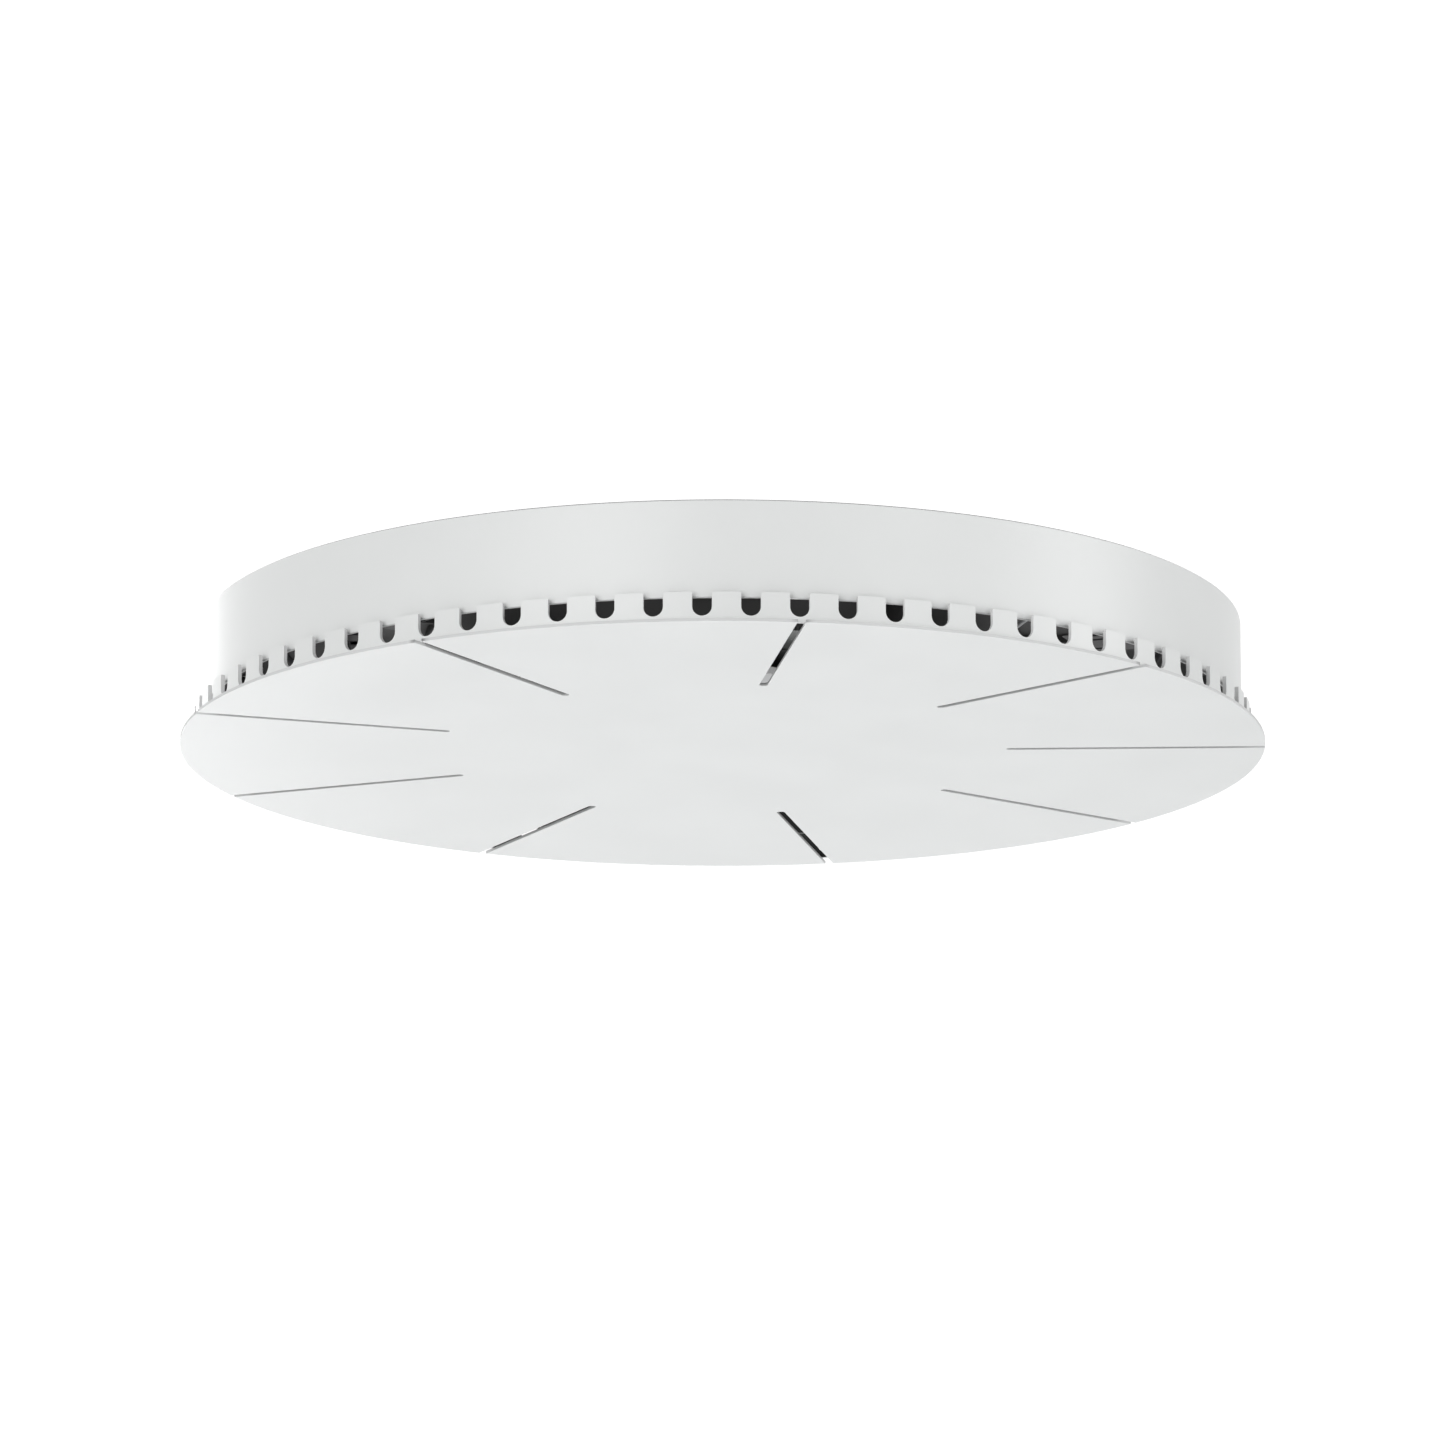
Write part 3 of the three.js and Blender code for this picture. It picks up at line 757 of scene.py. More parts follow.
def makePosts():
    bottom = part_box("front_plate")[1].z
    for node in numbered("cover_post"):
        top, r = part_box(node)[1].z, radiusOf(node)
        lower = [(r * part, bottom + up * mm) for part, up in coverPost["lower"]]
        upper = [(r * part, top - down * mm) for part, down in coverPost["upper"]]
        profile = [(0, bottom)] + lower + upper + [(0, top)]
        turnedPiece(node, "_turned", profile, "matteBlack", coverPost["edge"], "front_cover", "black_shell")
    for node in numbered("post_magnet"):
        low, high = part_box(node)
        r, hole, floor = radiusOf(node), postMagnet["hole"], high.z - postMagnet["depth"]
        profile = [
            (0, low.z), (r, low.z), (r, high.z), (postMagnet["mouth"], high.z),
            (hole, high.z - postMagnet["sink"]), (hole, floor), (0, floor),
        ]
        edge = postMagnet["edge"]
        turnedPiece(node, "_plated", profile, "nickelPlate", edge, "front_cover", "magnet_nickel")
    for node in numbered("strike_plate"):
        low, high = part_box(node)
        r, raised = radiusOf(node), low.z + strikePlate["dimple"]
        profile = [
            (0, raised), (r * strikePlate["dimpleTo"], raised), (r * strikePlate["flatFrom"], low.z),
            (r, low.z), (r, high.z), (0, high.z),
        ]
        turnedPiece(node, "_pressed", profile, "zincPlate", strikePlate["edge"], "access_point", "zinc_steel")


drum = {"wall": 1.5 * mm, "edge": 0.45 * mm, "edgeSteps": 4, "steps": 288, "liner": 0.3 * mm}

skirt = {"gap": 0.3 * mm, "wall": 1.5 * mm, "lip": 0.3 * mm, "lipInset": 0.6 * mm, "edge": 0.08 * mm}


def makeDrum():
    low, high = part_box("drum_shell")
    outer, inner = high.y, high.y - drum["wall"]
    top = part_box("chassis_skirt")[1].z - skirt["lip"]
    corners = [(inner, low.z), (outer, low.z), (outer, top), (inner, top)]
    mesh = lathedMesh("drum_sleeve", roundedLoop(corners, drum["edge"], drum["edgeSteps"]), drum["steps"])
    liner = inner + drum["liner"]
    paint(mesh, 1, lambda centre, normal: math.hypot(centre.x, centre.y) < liner)
    piece = addObject("drum_sleeve", mesh, ["satinWhite", "matteBlack"])
    softEdges(piece, 0)
    settle(piece, "access_point", "white_shell", "drum_shell")


def makeSkirt():
    low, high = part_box("chassis_skirt")
    lip, lipZ = high.y - skirt["lipInset"], high.z - skirt["lip"]
    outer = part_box("drum_shell")[1].y - drum["wall"] - skirt["gap"]
    inner = outer - skirt["wall"]
    profile = [(inner, low.z), (outer, low.z), (outer, lipZ), (lip, lipZ), (lip, high.z), (inner, high.z)]
    piece = addObject("skirt_moulding", lathedMesh("skirt_moulding", profile, drum["steps"]), ["matteBlack"])
    softEdges(piece, skirt["edge"])
    settle(piece, "access_point", "black_shell", "chassis_skirt")


deck = {
    "edge": 0.15 * mm,
    "belowRim": 1.7 * mm,     # from the skirt's rim down to the deck's upper face
    "sheet": 1.5 * mm,
    "root": 0.1 * mm,         # ribs and bosses are sunk this far into the deck
    "windowInset": 1.5 * mm,  # inside the port bay's outline
    "windowRound": 1.5 * mm,
    "padGap": 0.3 * mm,       # from a strike plate's face up into its pad
    "hooks": [30, 150, 270],
    "twist": 15,
    "slotPlay": 1 * mm,       # outside a hook
    "stemPlay": 0.7 * mm,     # inside its stem
    "turnPlay": 0.5,          # degrees each way
    "hookSteps": (8, 10, 16),
    "boss": (1.7 * mm, 4 * mm, 4.6 * mm),     # bore, tip and root radius
    "pad": (6 * mm, 6.6 * mm),                # tip and root radius
    "ribHeight": 0.9 * mm,
    "underDepth": 3 * mm,
    "hoops": (114 * mm, 192 * mm),            # circular ribs on the upper face
    "underHoops": (114 * mm, 172 * mm),
    "hoopWidth": 1.6 * mm,
}

upperRibs = {"count": 36, "offset": 0.5, "reach": (118 * mm, 190 * mm), "half": 0.6 * mm, "edge": 0.25 * mm}

underRibs = {"count": 9, "offset": 0, "reach": (113 * mm, 192 * mm), "half": 0.8 * mm, "edge": 0.3 * mm}


def hookSlotLoop(angle):
    # the narrow arc that a hook's stem runs along, with the wide entry at its end
    bracket, edge = bracketPressing, deck["edge"]
    stem = bracket["radius"] - bracket["sheet"] - deck["stemPlay"] - edge
    narrow = bracket["radius"] + deck["slotPlay"] + edge
    wide = bracket["radius"] + bracket["hookReach"] + deck["slotPlay"] + edge
    half = math.degrees(bracket["hookWidth"] / 2 / stem) + deck["turnPlay"]
    entry = angle - deck["twist"]
    first, step, last = (math.radians(v) for v in (entry - half, entry + half, angle + half))
    entrySteps, slotSteps, stemSteps = deck["hookSteps"]
    loop = arcPoints(0, 0, wide, first, step, entrySteps) + arcPoints(0, 0, narrow, step, last, slotSteps)
    return loop + arcPoints(0, 0, stem, last, first, stemSteps)


def ribRing(ribs, lowZ, highZ):
    (start, end), half = ribs["reach"], ribs["half"]
    made = []
    for i in range(ribs["count"]):
        rib = boxMesh((start, -half, lowZ), (end, half, highZ), ribs["edge"])
        rib.transform(Matrix.Rotation(2 * math.pi * (i + ribs["offset"]) / ribs["count"], 4, "Z"))
        made.append(rib)
    return made


def makeDeck():
    low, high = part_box("chassis_deck")
    bayLow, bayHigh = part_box("port_bay")
    edge, root = deck["edge"], deck["root"]
    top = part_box("chassis_skirt")[1].z - deck["belowRim"]
    bottom = top - deck["sheet"]
    inset = deck["windowInset"] - edge
    corners = (bayLow.x + inset, bayLow.y + inset, bayHigh.x - inset, bayHigh.y - inset)
    window = rectLoop(*corners, deck["windowRound"])
    loops = [circleLoop(high.y - edge, 240), window] + [hookSlotLoop(angle) for angle in deck["hooks"]]
    meshes = [plateMesh("deck", loops, bottom, top, edge)]
    bore, tip, foot = deck["boss"]
    for node in numbered("board_screw"):
        at = middleOf(node)
        profile = [(bore, low.z), (tip, low.z), (foot, bottom + root), (bore, bottom + root)]
        meshes.append(lathedMesh("boss", profile, 32, at.x, at.y))
    tip, foot = deck["pad"]
    for node in numbered("strike_plate"):
        at, base = middleOf(node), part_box(node)[1].z + deck["padGap"]
        profile = [(0, base), (tip, base), (foot, bottom + root), (0, bottom + root)]
        meshes.append(lathedMesh("pad", profile, 32, at.x, at.y, closed=False))
    upper, under = (top - root, top + deck["ribHeight"]), (bottom - deck["underDepth"], bottom + root)
    meshes += ribRing(upperRibs, *upper) + ribRing(underRibs, *under)
    hoops = [(radius, *upper) for radius in deck["hoops"]]
    hoops += [(radius, *under) for radius in deck["underHoops"]]
    for radius, lowZ, highZ in hoops:
        outer = radius + deck["hoopWidth"]
        profile = [(radius, lowZ), (outer, lowZ), (outer, highZ), (radius, highZ)]
        meshes.append(lathedMesh("hoop", profile, 180))
    piece = addObject("deck_moulding", joined("deck_moulding", meshes), ["matteBlack"])
    softEdges(piece, 0)
    settle(piece, "access_point", "black_shell", "chassis_deck")


bracketPressing = {
    "radius": 104 * mm,
    "sheet": 1.5 * mm,
    "edge": 0.22 * mm,
    "hookWidth": 14 * mm,
    "hookReach": 6 * mm,
    "hookDrop": 5.4 * mm,
    "hookRoot": 1.2 * mm,     # the hook starts this far inside its stem
    "hookRound": 0.35 * mm,
    "hookBend": (0.2 * mm, 0.6 * mm, -0.9 * mm),  # heights of the stem's root in the plate
    "cableHole": (0, 52 * mm, 22 * mm),           # x, y, radius
    "boxSlots": (83.3 * mm, 12 * mm, 4.5 * mm),   # spacing, length, width
    "cornerSlots": (70 * mm, 14 * mm, 5 * mm),    # circle, length, width
}


def slotLoop(x, y, length, width, angle):
    half, radius, quarter = (length - width) / 2, width / 2, math.pi / 2
    c, s = math.cos(angle), math.sin(angle)
    farEnd = arcPoints(x + half * c, y + half * s, radius, angle - quarter, angle + quarter, 8)
    return farEnd + arcPoints(x - half * c, y - half * s, radius, angle + quarter, angle + 3 * quarter, 8)


def profilePiece(name, outline, width, angle, edge, radius):
    # a section in radius and height, drawn out sideways and turned to its place
    mesh = plateMesh(name, [roundedLoop(outline, radius, 5)], -width / 2, width / 2, edge)
    mesh.transform(Matrix.Rotation(angle, 4, "Z") @ Matrix.Rotation(math.pi / 2, 4, "X"))
    return mesh


def makeBracket():
    b = bracketPressing
    edge, sheet = b["edge"], b["sheet"]
    x, y, r = b["cableHole"]
    loops = [circleLoop(b["radius"] - edge, 160), circleLoop(r + edge, 72, x, y)]
    spacing, length, width = b["boxSlots"]
    loops += [slotLoop(side * spacing / 2, 0, length + 2 * edge, width + 2 * edge, 0) for side in (-1, 1)]
    circle, length, width = b["cornerSlots"]
    for angle in (45, 135, 225, 315):
        a = math.radians(angle)
        at = (circle * math.cos(a), circle * math.sin(a))
        loops.append(slotLoop(*at, length + 2 * edge, width + 2 * edge, a + math.pi / 2))
    meshes = [plateMesh("plate", loops, -sheet, 0, edge)]
    inner, outer, drop = b["radius"] - sheet, b["radius"], -b["hookDrop"]
    root, tip = inner - b["hookRoot"], outer + b["hookReach"] - edge
    rootLow, innerLow, rootTop = b["hookBend"]
    section = [
        (root, -sheet + rootLow), (inner, -sheet - innerLow), (inner, drop + edge), (tip, drop + edge),
        (tip, drop + sheet - edge), (outer - edge, drop + sheet - edge), (outer - edge, rootTop),
        (root, rootTop),
    ]
    for angle in deck["hooks"]:
        hook = profilePiece("hook", section, b["hookWidth"], math.radians(angle), edge, b["hookRound"])
        meshes.append(hook)
    piece = addObject("bracket_pressing", joined("bracket_pressing", meshes), ["zincPlate"])
    softEdges(piece, 0)
    settle(piece, "ceiling_bracket", "zinc_steel", "ceiling_bracket")


grommet = {
    "bore": 18 * mm,
    "mouth": 0.5 * mm,        # widening of the bore at both ends, and depth of the waist
    "mouthHeight": 0.45 * mm,
    "flange": 0.35 * mm,
    "edge": 0.1 * mm,
}


def makeGrommet():
    low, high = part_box("cable_grommet")
    at, outer, bore = middleOf("cable_grommet"), radiusOf("cable_grommet"), grommet["bore"]
    mouth, mouthHeight, flange = grommet["mouth"], grommet["mouthHeight"], grommet["flange"]
    waist = outer - mouth
    profile = [
        (bore + mouth, low.z), (outer, low.z), (outer, low.z + flange), (waist, low.z + mouth),
        (waist, high.z - mouth), (outer, high.z - flange), (outer, high.z), (bore + mouth, high.z),
        (bore, high.z - mouthHeight), (bore, low.z + mouthHeight),
    ]
    piece = addObject("grommet_bush", lathedMesh("grommet_bush", profile, 96, at.x, at.y), ["softRubber"])
    softEdges(piece, grommet["edge"])
    settle(piece, "ceiling_bracket", "black_rubber", "cable_grommet")


screw = {
    "head": 2 * mm,
    "recess": 1.2 * mm,       # depth of the cross
    "overlap": 0.1 * mm,      # of the crossed face and the dome round it
    "face": 0.35 * mm,        # the face ends this far inside the head
    "faceEdge": 0.12 * mm,
    "dome": [(0.5, 0.1), (0.24, 0.3), (0, 0.9)],  # inside the head's radius and up, in millimetres
    "crossHalf": 0.45 * mm,
    "crossReach": 1.75 * mm,
    "crest": 1.36 * mm,
    "root": 1.12 * mm,
    "halfPitch": 0.25 * mm,
    "tip": 0.8 * mm,
    "point": 0.4 * mm,        # length of the plain point
}


def crossLoop(x, y):
    half, reach = screw["crossHalf"], screw["crossReach"]
    loop = []
    for k in range(4):
        turn = Matrix.Rotation(k * math.pi / 2, 2)
        loop += [turn @ Vector(p) for p in ((half, -half), (reach, -half), (reach, half))]
    return [(x + corner.x, y + corner.y) for corner in loop]


def makeScrews():
    for node in numbered("spreader_screw") + numbered("board_screw"):
        low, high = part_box(node)
        at, r = middleOf(node), radiusOf(node)
        seat = low.z + screw["head"]
        face = [circleLoop(r - screw["face"], 48, at.x, at.y), crossLoop(at.x, at.y)]
        recessTop = low.z + screw["recess"]
        dome = [(r - inside * mm, low.z + up * mm) for inside, up in screw["dome"]]
        dome += [(r, seat), (0, seat), (0, recessTop), (dome[0][0], recessTop)]
        thread = [(0, seat)]
        z, crest = seat, False
        while z < high.z - screw["point"]:
            thread.append((screw["crest"] if crest else screw["root"], z))
            z, crest = z + screw["halfPitch"], not crest
        thread += [(screw["tip"], high.z), (0, high.z)]
        meshes = [
            plateMesh("head", face, low.z, recessTop + screw["overlap"], screw["faceEdge"]),
            lathedMesh("dome", dome, 48, at.x, at.y),
            lathedMesh("thread", thread, 20, at.x, at.y, closed=False),
        ]
        piece = addObject(node + "_threaded", joined(node, meshes), ["zincPlate"])
        softEdges(piece, 0)
        settle(piece, "access_point", "zinc_steel", node)


boardSet = {
    "radius": 105 * mm,
    "thickness": 1.6 * mm,
    "edge": 0.08 * mm,
    "hole": 1.8 * mm,
    "nut": (1.7 * mm, 4 * mm),        # bore and outside
    "land": (1.9 * mm, 3.6 * mm),     # bare ring round a hole on the underside
    "landProud": 0.04 * mm,
    "ringEdge": 0.05 * mm,
    "root": 0.1 * mm,
}


def makeBoard():
    low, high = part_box("main_board")
    bottom, top = low.z, low.z + boardSet["thickness"]
    edge, root = boardSet["edge"], boardSet["root"]
    screws = numbered("spreader_screw") + numbered("board_screw")
    loops = [circleLoop(boardSet["radius"] - edge, 180)]
    loops += [circleLoop(boardSet["hole"] + edge, 24, middleOf(node).x, middleOf(node).y) for node in screws]
    laminate = plateMesh("board_laminate", loops, bottom, top, edge)
    board = addObject("board_laminate", laminate, ["boardLacquer"])
    softEdges(board, 0)
    settle(board, "access_point", "board_lacquer", "main_board")
    rings = []
    inner, outer = boardSet["nut"]
    for node in numbered("spreader_screw"):
        at = middleOf(node)
        profile = [(inner, top - root), (outer, top - root), (outer, high.z), (inner, high.z)]
        rings.append(lathedMesh("nut", profile, 6, at.x, at.y))
    inner, outer = boardSet["land"]
    proud = bottom - boardSet["landProud"]
    for node in screws:
        at = middleOf(node)
        profile = [(inner, proud), (outer, proud), (outer, bottom + root), (inner, bottom + root)]
        rings.append(lathedMesh("land", profile, 40, at.x, at.y))
    piece = addObject("press_nuts", joined("press_nuts", rings), ["tinPlate"])
    softEdges(piece, boardSet["ringEdge"])
    settle(piece, "access_point", "tin_plate")
    makeSmallParts(bottom, top)


smallParts = {
    "eachSide": 130,
    "seed": 7,
    "reach": 99 * mm,         # no part further out than this
    "offFilm": 5 * mm,        # and under the board none this close to the film
    "spacing": 1.2 * mm,      # kept clear round the big parts
    "edge": 0.08 * mm,
    "capAt": 0.3696,          # the solder caps' places and half lengths, in part lengths
    "capHalf": 0.24,
    "capWrap": 0.03 * mm,
    "capLift": 0.02 * mm,
    "capEdge": 0.05 * mm,
    "tallest": 0.8 * mm,      # parts lower than this have solder caps
    "kinds": [                # length, width and height in millimetres, how common
        (1.6, 0.8, 0.55, 34),
        (2.0, 1.25, 0.7, 26),
        (3.2, 1.6, 0.9, 16),
        (4.0, 4.0, 0.9, 10),
        (6.0, 5.0, 1.2, 8),
        (5.0, 5.0, 2.6, 6),
    ],
    "keepOff": ["processor", "heat_spreader", "poe_transformer", "port_bay", "console_port", "reset_switch"],
    "keepOffSets": ["capacitor", "shield_can", "ethernet_jack", "board_screw"],
}


def solderCaps(x, y, length, width, lowZ, highZ):
    # the two bright ends of a small part
    at, half, wrap, lift = (smallParts[key] for key in ("capAt", "capHalf", "capWrap", "capLift"))
    caps = []
    for sign in (-1, 1):
        if length > width:
            sizeX, sizeY = half * length, width / 2 + wrap
            capX, capY = x + sign * at * length, y
        else:
            sizeX, sizeY = length / 2 + wrap, half * width
            capX, capY = x, y + sign * at * width
        low, high = (capX - sizeX, capY - sizeY, lowZ - lift), (capX + sizeX, capY + sizeY, highZ + lift)
        caps.append(boxMesh(low, high, smallParts["capEdge"], 1))
    return caps


def keptClear(west, east, south, north, blocked):
    pad = smallParts["spacing"]
    return not any(
        low.x - pad < east and high.x + pad > west and low.y - pad < north and high.y + pad > south
        for low, high in blocked
    )


def placeSmallParts(pick, blocked, inner, foot, upward):
    kinds = smallParts["kinds"]
    weights = [kind[-1] for kind in kinds]
    bodies, caps = [], []
    while len(bodies) < smallParts["eachSide"]:
        reach = math.sqrt(pick.uniform(inner ** 2, smallParts["reach"] ** 2))
        angle = 2 * math.pi * pick.random()
        x, y = reach * math.cos(angle), reach * math.sin(angle)
        length, width, height = (size * mm for size in pick.choices(kinds, weights)[0][:3])
        hasCaps = height < smallParts["tallest"]
        if pick.random() < 0.5:
            length, width = width, length
        west, east, south, north = x - length / 2, x + length / 2, y - width / 2, y + width / 2
        if keptClear(west, east, south, north, blocked):
            lowZ, highZ = (foot, foot + height) if upward else (foot - height, foot)
            bodies.append(boxMesh((west, south, lowZ), (east, north, highZ), smallParts["edge"], 1))
            if hasCaps:
                caps += solderCaps(x, y, length, width, lowZ, highZ)
    return bodies, caps


def makeSmallParts(bottom, top):
    # the small parts soldered on both faces of the board, kept off the big ones
    pick = random.Random(smallParts["seed"])
    tall = [node for stem in smallParts["keepOffSets"] for node in numbered(stem)]
    above = [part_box(node) for node in smallParts["keepOff"] + tall]
    below = [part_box(node) for node in ["processor"] + numbered("board_screw") + numbered("spreader_screw")]
    underInner = film["radius"] + smallParts["offFilm"]
    for side, blocked, inner, foot in (("top", above, 0, top), ("under", below, underInner, bottom)):
        bodies, caps = placeSmallParts(pick, blocked, inner, foot, side == "top")
        for name, meshes, skin, slot in (
            ("chips", bodies, "chipBlack", "component_black"),
            ("solder", caps, "tinPlate", "tin_plate"),
        ):
            piece = addObject(f"board_{name}_{side}", joined(name, meshes), [skin])
            softEdges(piece, 0)
            settle(piece, "access_point", slot)


film = {
    "radius": 76 * mm,
    "window": 15.5 * mm,      # half its side
    "windowRound": 1.5 * mm,
    "pillarHole": 4.8 * mm,
    "edge": 0.05 * mm,
}


def makeFilm():
    low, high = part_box("insulating_film")
    edge, window = film["edge"], film["window"]
    loops = [circleLoop(film["radius"] - edge, 160)]
    loops.append(rectLoop(-window, -window, window, window, film["windowRound"]))
    for node in numbered("spreader_screw"):
        loops.append(circleLoop(film["pillarHole"] + edge, 40, middleOf(node).x, middleOf(node).y))
    piece = addObject("film_sheet", plateMesh("film_sheet", loops, low.z, high.z, edge), ["filmBlack"])
    softEdges(piece, 0)
    settle(piece, "access_point", "black_shell", "insulating_film")


spreader = {
    "edge": 0.4 * mm,
    "cornerRadius": 1.5 * mm,
    "plate": 3 * mm,
    "outline": [
        (-56, -48), (-36, -70), (21, -70), (50, -42), (56, -36), (56, 38), (42, 52), (-42, 52), (-56, 38),
    ],
    "root": 0.1 * mm,
    "pillar": (1.7 * mm, 4 * mm, 4.6 * mm),       # bore, shaft and foot radius
    "footHeight": 0.8 * mm,
    "pedestal": 0.3 * mm,     # its edge, and its gap to the pad
    "halfSize": 60 * mm,      # about half the plate, to draw the outline in by one edge
    "sideSlope": 0.5,         # faces steeper than this are milled
    "web": (41 * mm, 34 * mm, 1.2 * mm, 1.6 * mm),    # half length, place, half width, height
}


def makeSpreader():
    low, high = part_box("heat_spreader")
    edge = spreader["edge"]
    plateTop = low.z + spreader["plate"]
    base = plateTop - spreader["root"]
    shrink = mm * (1 - edge / spreader["halfSize"])
    inset = [(x * shrink, y * shrink) for x, y in spreader["outline"]]
    bore, shaft, foot = spreader["pillar"]
    loops = [roundedLoop(inset, spreader["cornerRadius"], 6)]
    places = [middleOf(node) for node in numbered("spreader_screw")]
    loops += [circleLoop(bore + edge, 32, at.x, at.y) for at in places]
    meshes = [plateMesh("plate", loops, low.z, plateTop, edge, 3)]
    footTop = plateTop + spreader["footHeight"]
    pillar = [(bore, base), (foot, base), (shaft, footTop), (shaft, high.z), (bore, high.z)]
    meshes += [lathedMesh("pillar", pillar, 40, at.x, at.y) for at in places]
    chipLow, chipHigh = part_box("processor")
    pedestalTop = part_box("thermal_pad")[0].z - spreader["pedestal"]
    pedestalHigh = (chipHigh.x, chipHigh.y, pedestalTop)
    meshes.append(boxMesh((chipLow.x, chipLow.y, base), pedestalHigh, spreader["pedestal"]))
    # cast webs between the pillars, clear of the pedestal
    reach, away, half, height = spreader["web"]
    for y in (-away, away):
        meshes.append(boxMesh((-reach, y - half, base), (reach, y + half, plateTop + height), edge))
    casting = joined("spreader_casting", meshes)
    paint(casting, 1, lambda centre, normal: abs(normal.z) < spreader["sideSlope"])
    piece = addObject("spreader_casting", casting, ["blastedAluminium", "milledAluminium"])
    softEdges(piece, 0)
    settle(piece, "access_point", "spreader_aluminium", "heat_spreader")


processor = {"lidInset": 3 * mm, "lid": 1.1 * mm, "overlap": 0.1 * mm, "lidEdge": 0.25 * mm, "edge": 0.1 * mm}


def makeProcessor():
    low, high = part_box("processor")
    inset, lidTop = processor["lidInset"], low.z + processor["lid"]
    lidHigh = (high.x - inset, high.y - inset, lidTop)
    lid = boxMesh((low.x + inset, low.y + inset, low.z), lidHigh, processor["lidEdge"])
    carrier = boxMesh((low.x, low.y, lidTop - processor["overlap"]), high, processor["edge"])
    paint(carrier, 1, lambda centre, normal: True)
    package = joined("processor_package", [lid, carrier])
    piece = addObject("processor_package", package, ["chipBlack", "boardLacquer"])
    softEdges(piece, 0)
    settle(piece, "access_point", "component_black", "processor")


shieldCan = {
    "hole": 0.75 * mm,
    "columns": 7,
    "rows": 5,
    "columnStep": 0.125,      # part of the can's width
    "rowStep": 0.16,
    "lid": 0.35 * mm,
    "lidInset": 0.5 * mm,
    "lidEdge": 0.1 * mm,
    "cornerRadius": 1 * mm,
    "wallInset": 0.3 * mm,
    "wallFoot": 0.25 * mm,    # the wall reaches down onto the board
    "edge": 0.3 * mm,
    "fence": 1.3 * mm,        # height of the soldered fence round the foot
    "foot": 0.28 * mm,        # and so does the fence
}


def makeCans():
    can = shieldCan
    cap, wall, edge = can["lidInset"], can["wallInset"], can["edge"]
    for node in numbered("shield_can"):
        low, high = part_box(node)
        at = middleOf(node)
        stepX, stepY = (high.x - low.x) * can["columnStep"], (high.y - low.y) * can["rowStep"]
        loops = [rectLoop(low.x + cap, low.y + cap, high.x - cap, high.y - cap, can["cornerRadius"])]
        for i in range(can["columns"]):
            for j in range(can["rows"]):
                x = at.x + (i - (can["columns"] - 1) / 2) * stepX
                y = at.y + (j - (can["rows"] - 1) / 2) * stepY
                loops.append(circleLoop(can["hole"], 12, x, y))
        lid = plateMesh("lid", loops, high.z - can["lid"], high.z, can["lidEdge"])
        wallLow = (low.x + wall, low.y + wall, low.z - can["wallFoot"])
        box = boxMesh(wallLow, (high.x - wall, high.y - wall, high.z - wall), edge)
        fence = boxMesh((low.x, low.y, low.z - can["foot"]), (high.x, high.y, low.z + can["fence"]), edge)
        piece = addObject(node + "_formed", joined(node, [lid, box, fence]), ["tinPlate"])
        softEdges(piece, 0)
        settle(piece, "access_point", "tin_plate", node)


capacitorCan = {              # part of the radius, and millimetres up from the foot or down from the top
    "lower": [(0.9, -0.3), (1, 0.4), (1, 1.4), (0.93, 1.9), (1, 2.4)],
    "upper": [(1, 1.6), (0.96, 0.5), (0.86, 0), (0.8, 0.2)],
    "bareTop": 0.84,
    "topSlope": 0.6,          # faces flatter than this are bare there
    "edge": 0.12 * mm,
}


def makeCapacitors():
    for node in numbered("capacitor"):
        low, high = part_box(node)
        at, r = middleOf(node), radiusOf(node)
        lower = [(r * part, low.z + up * mm) for part, up in capacitorCan["lower"]]
        upper = [(r * part, high.z - down * mm) for part, down in capacitorCan["upper"]]
        profile = [(0, lower[0][1])] + lower + upper + [(0, upper[-1][1])]
        mesh = lathedMesh(node, profile, 56, at.x, at.y, closed=False)
        bare = r * capacitorCan["bareTop"]

        def onBareTop(centre, normal):
            away = math.hypot(centre.x - at.x, centre.y - at.y)
            return normal.z > capacitorCan["topSlope"] and away < bare

        paint(mesh, 1, onBareTop)
        piece = addObject(node + "_can", mesh, ["chipBlack", "blastedAluminium"])
        softEdges(piece, capacitorCan["edge"])
        settle(piece, "access_point", "component_black", node)


transformer = {
    "cheek": 5 * mm,
    "base": 2 * mm,
    "belowTop": 0.5 * mm,     # the cheeks end this far under the winding's top
    "foot": 0.2 * mm,         # the core's overlaps, with the board and with its cheeks
    "edge": 0.4 * mm,
    "windingInset": 1.2 * mm,
    "windingOverlap": 0.5 * mm,
    "windingEdge": 1.4 * mm,
}


def makeTransformer():
    low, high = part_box("poe_transformer")
    t = transformer
    cheek, edge, foot, inset = t["cheek"], t["edge"], t["foot"], t["windingInset"]
    base, cheekTop = low.z + t["base"], high.z - t["belowTop"]
    core = [
        boxMesh((low.x, low.y, base), (high.x, low.y + cheek, cheekTop), edge),
        boxMesh((low.x, high.y - cheek, base), (high.x, high.y, cheekTop), edge),
        boxMesh((low.x, low.y, low.z - foot), (high.x, high.y, base + foot), edge),
    ]
    between = cheek - t["windingOverlap"]
    windingLow = (low.x + inset, low.y + between, base)
    winding = boxMesh(windingLow, (high.x - inset, high.y - between, high.z), t["windingEdge"], 4)
    paint(winding, 1, lambda centre, normal: True)
    meshes = core + [winding]
    piece = addObject("transformer_wound", joined("transformer_wound", meshes), ["chipBlack", "goldContact"])
    softEdges(piece, 0)
    settle(piece, "access_point", "component_black", "poe_transformer")


jackContacts = {
    "count": 8,
    "pitch": 1.02 * mm,
    "half": 0.22 * mm,
    "halfLength": 6 * mm,
    "edge": 0.12 * mm,
    "behindMouth": 9 * mm,
    "belowTop": 6.4 * mm,
    "lean": -18,              # degrees
}


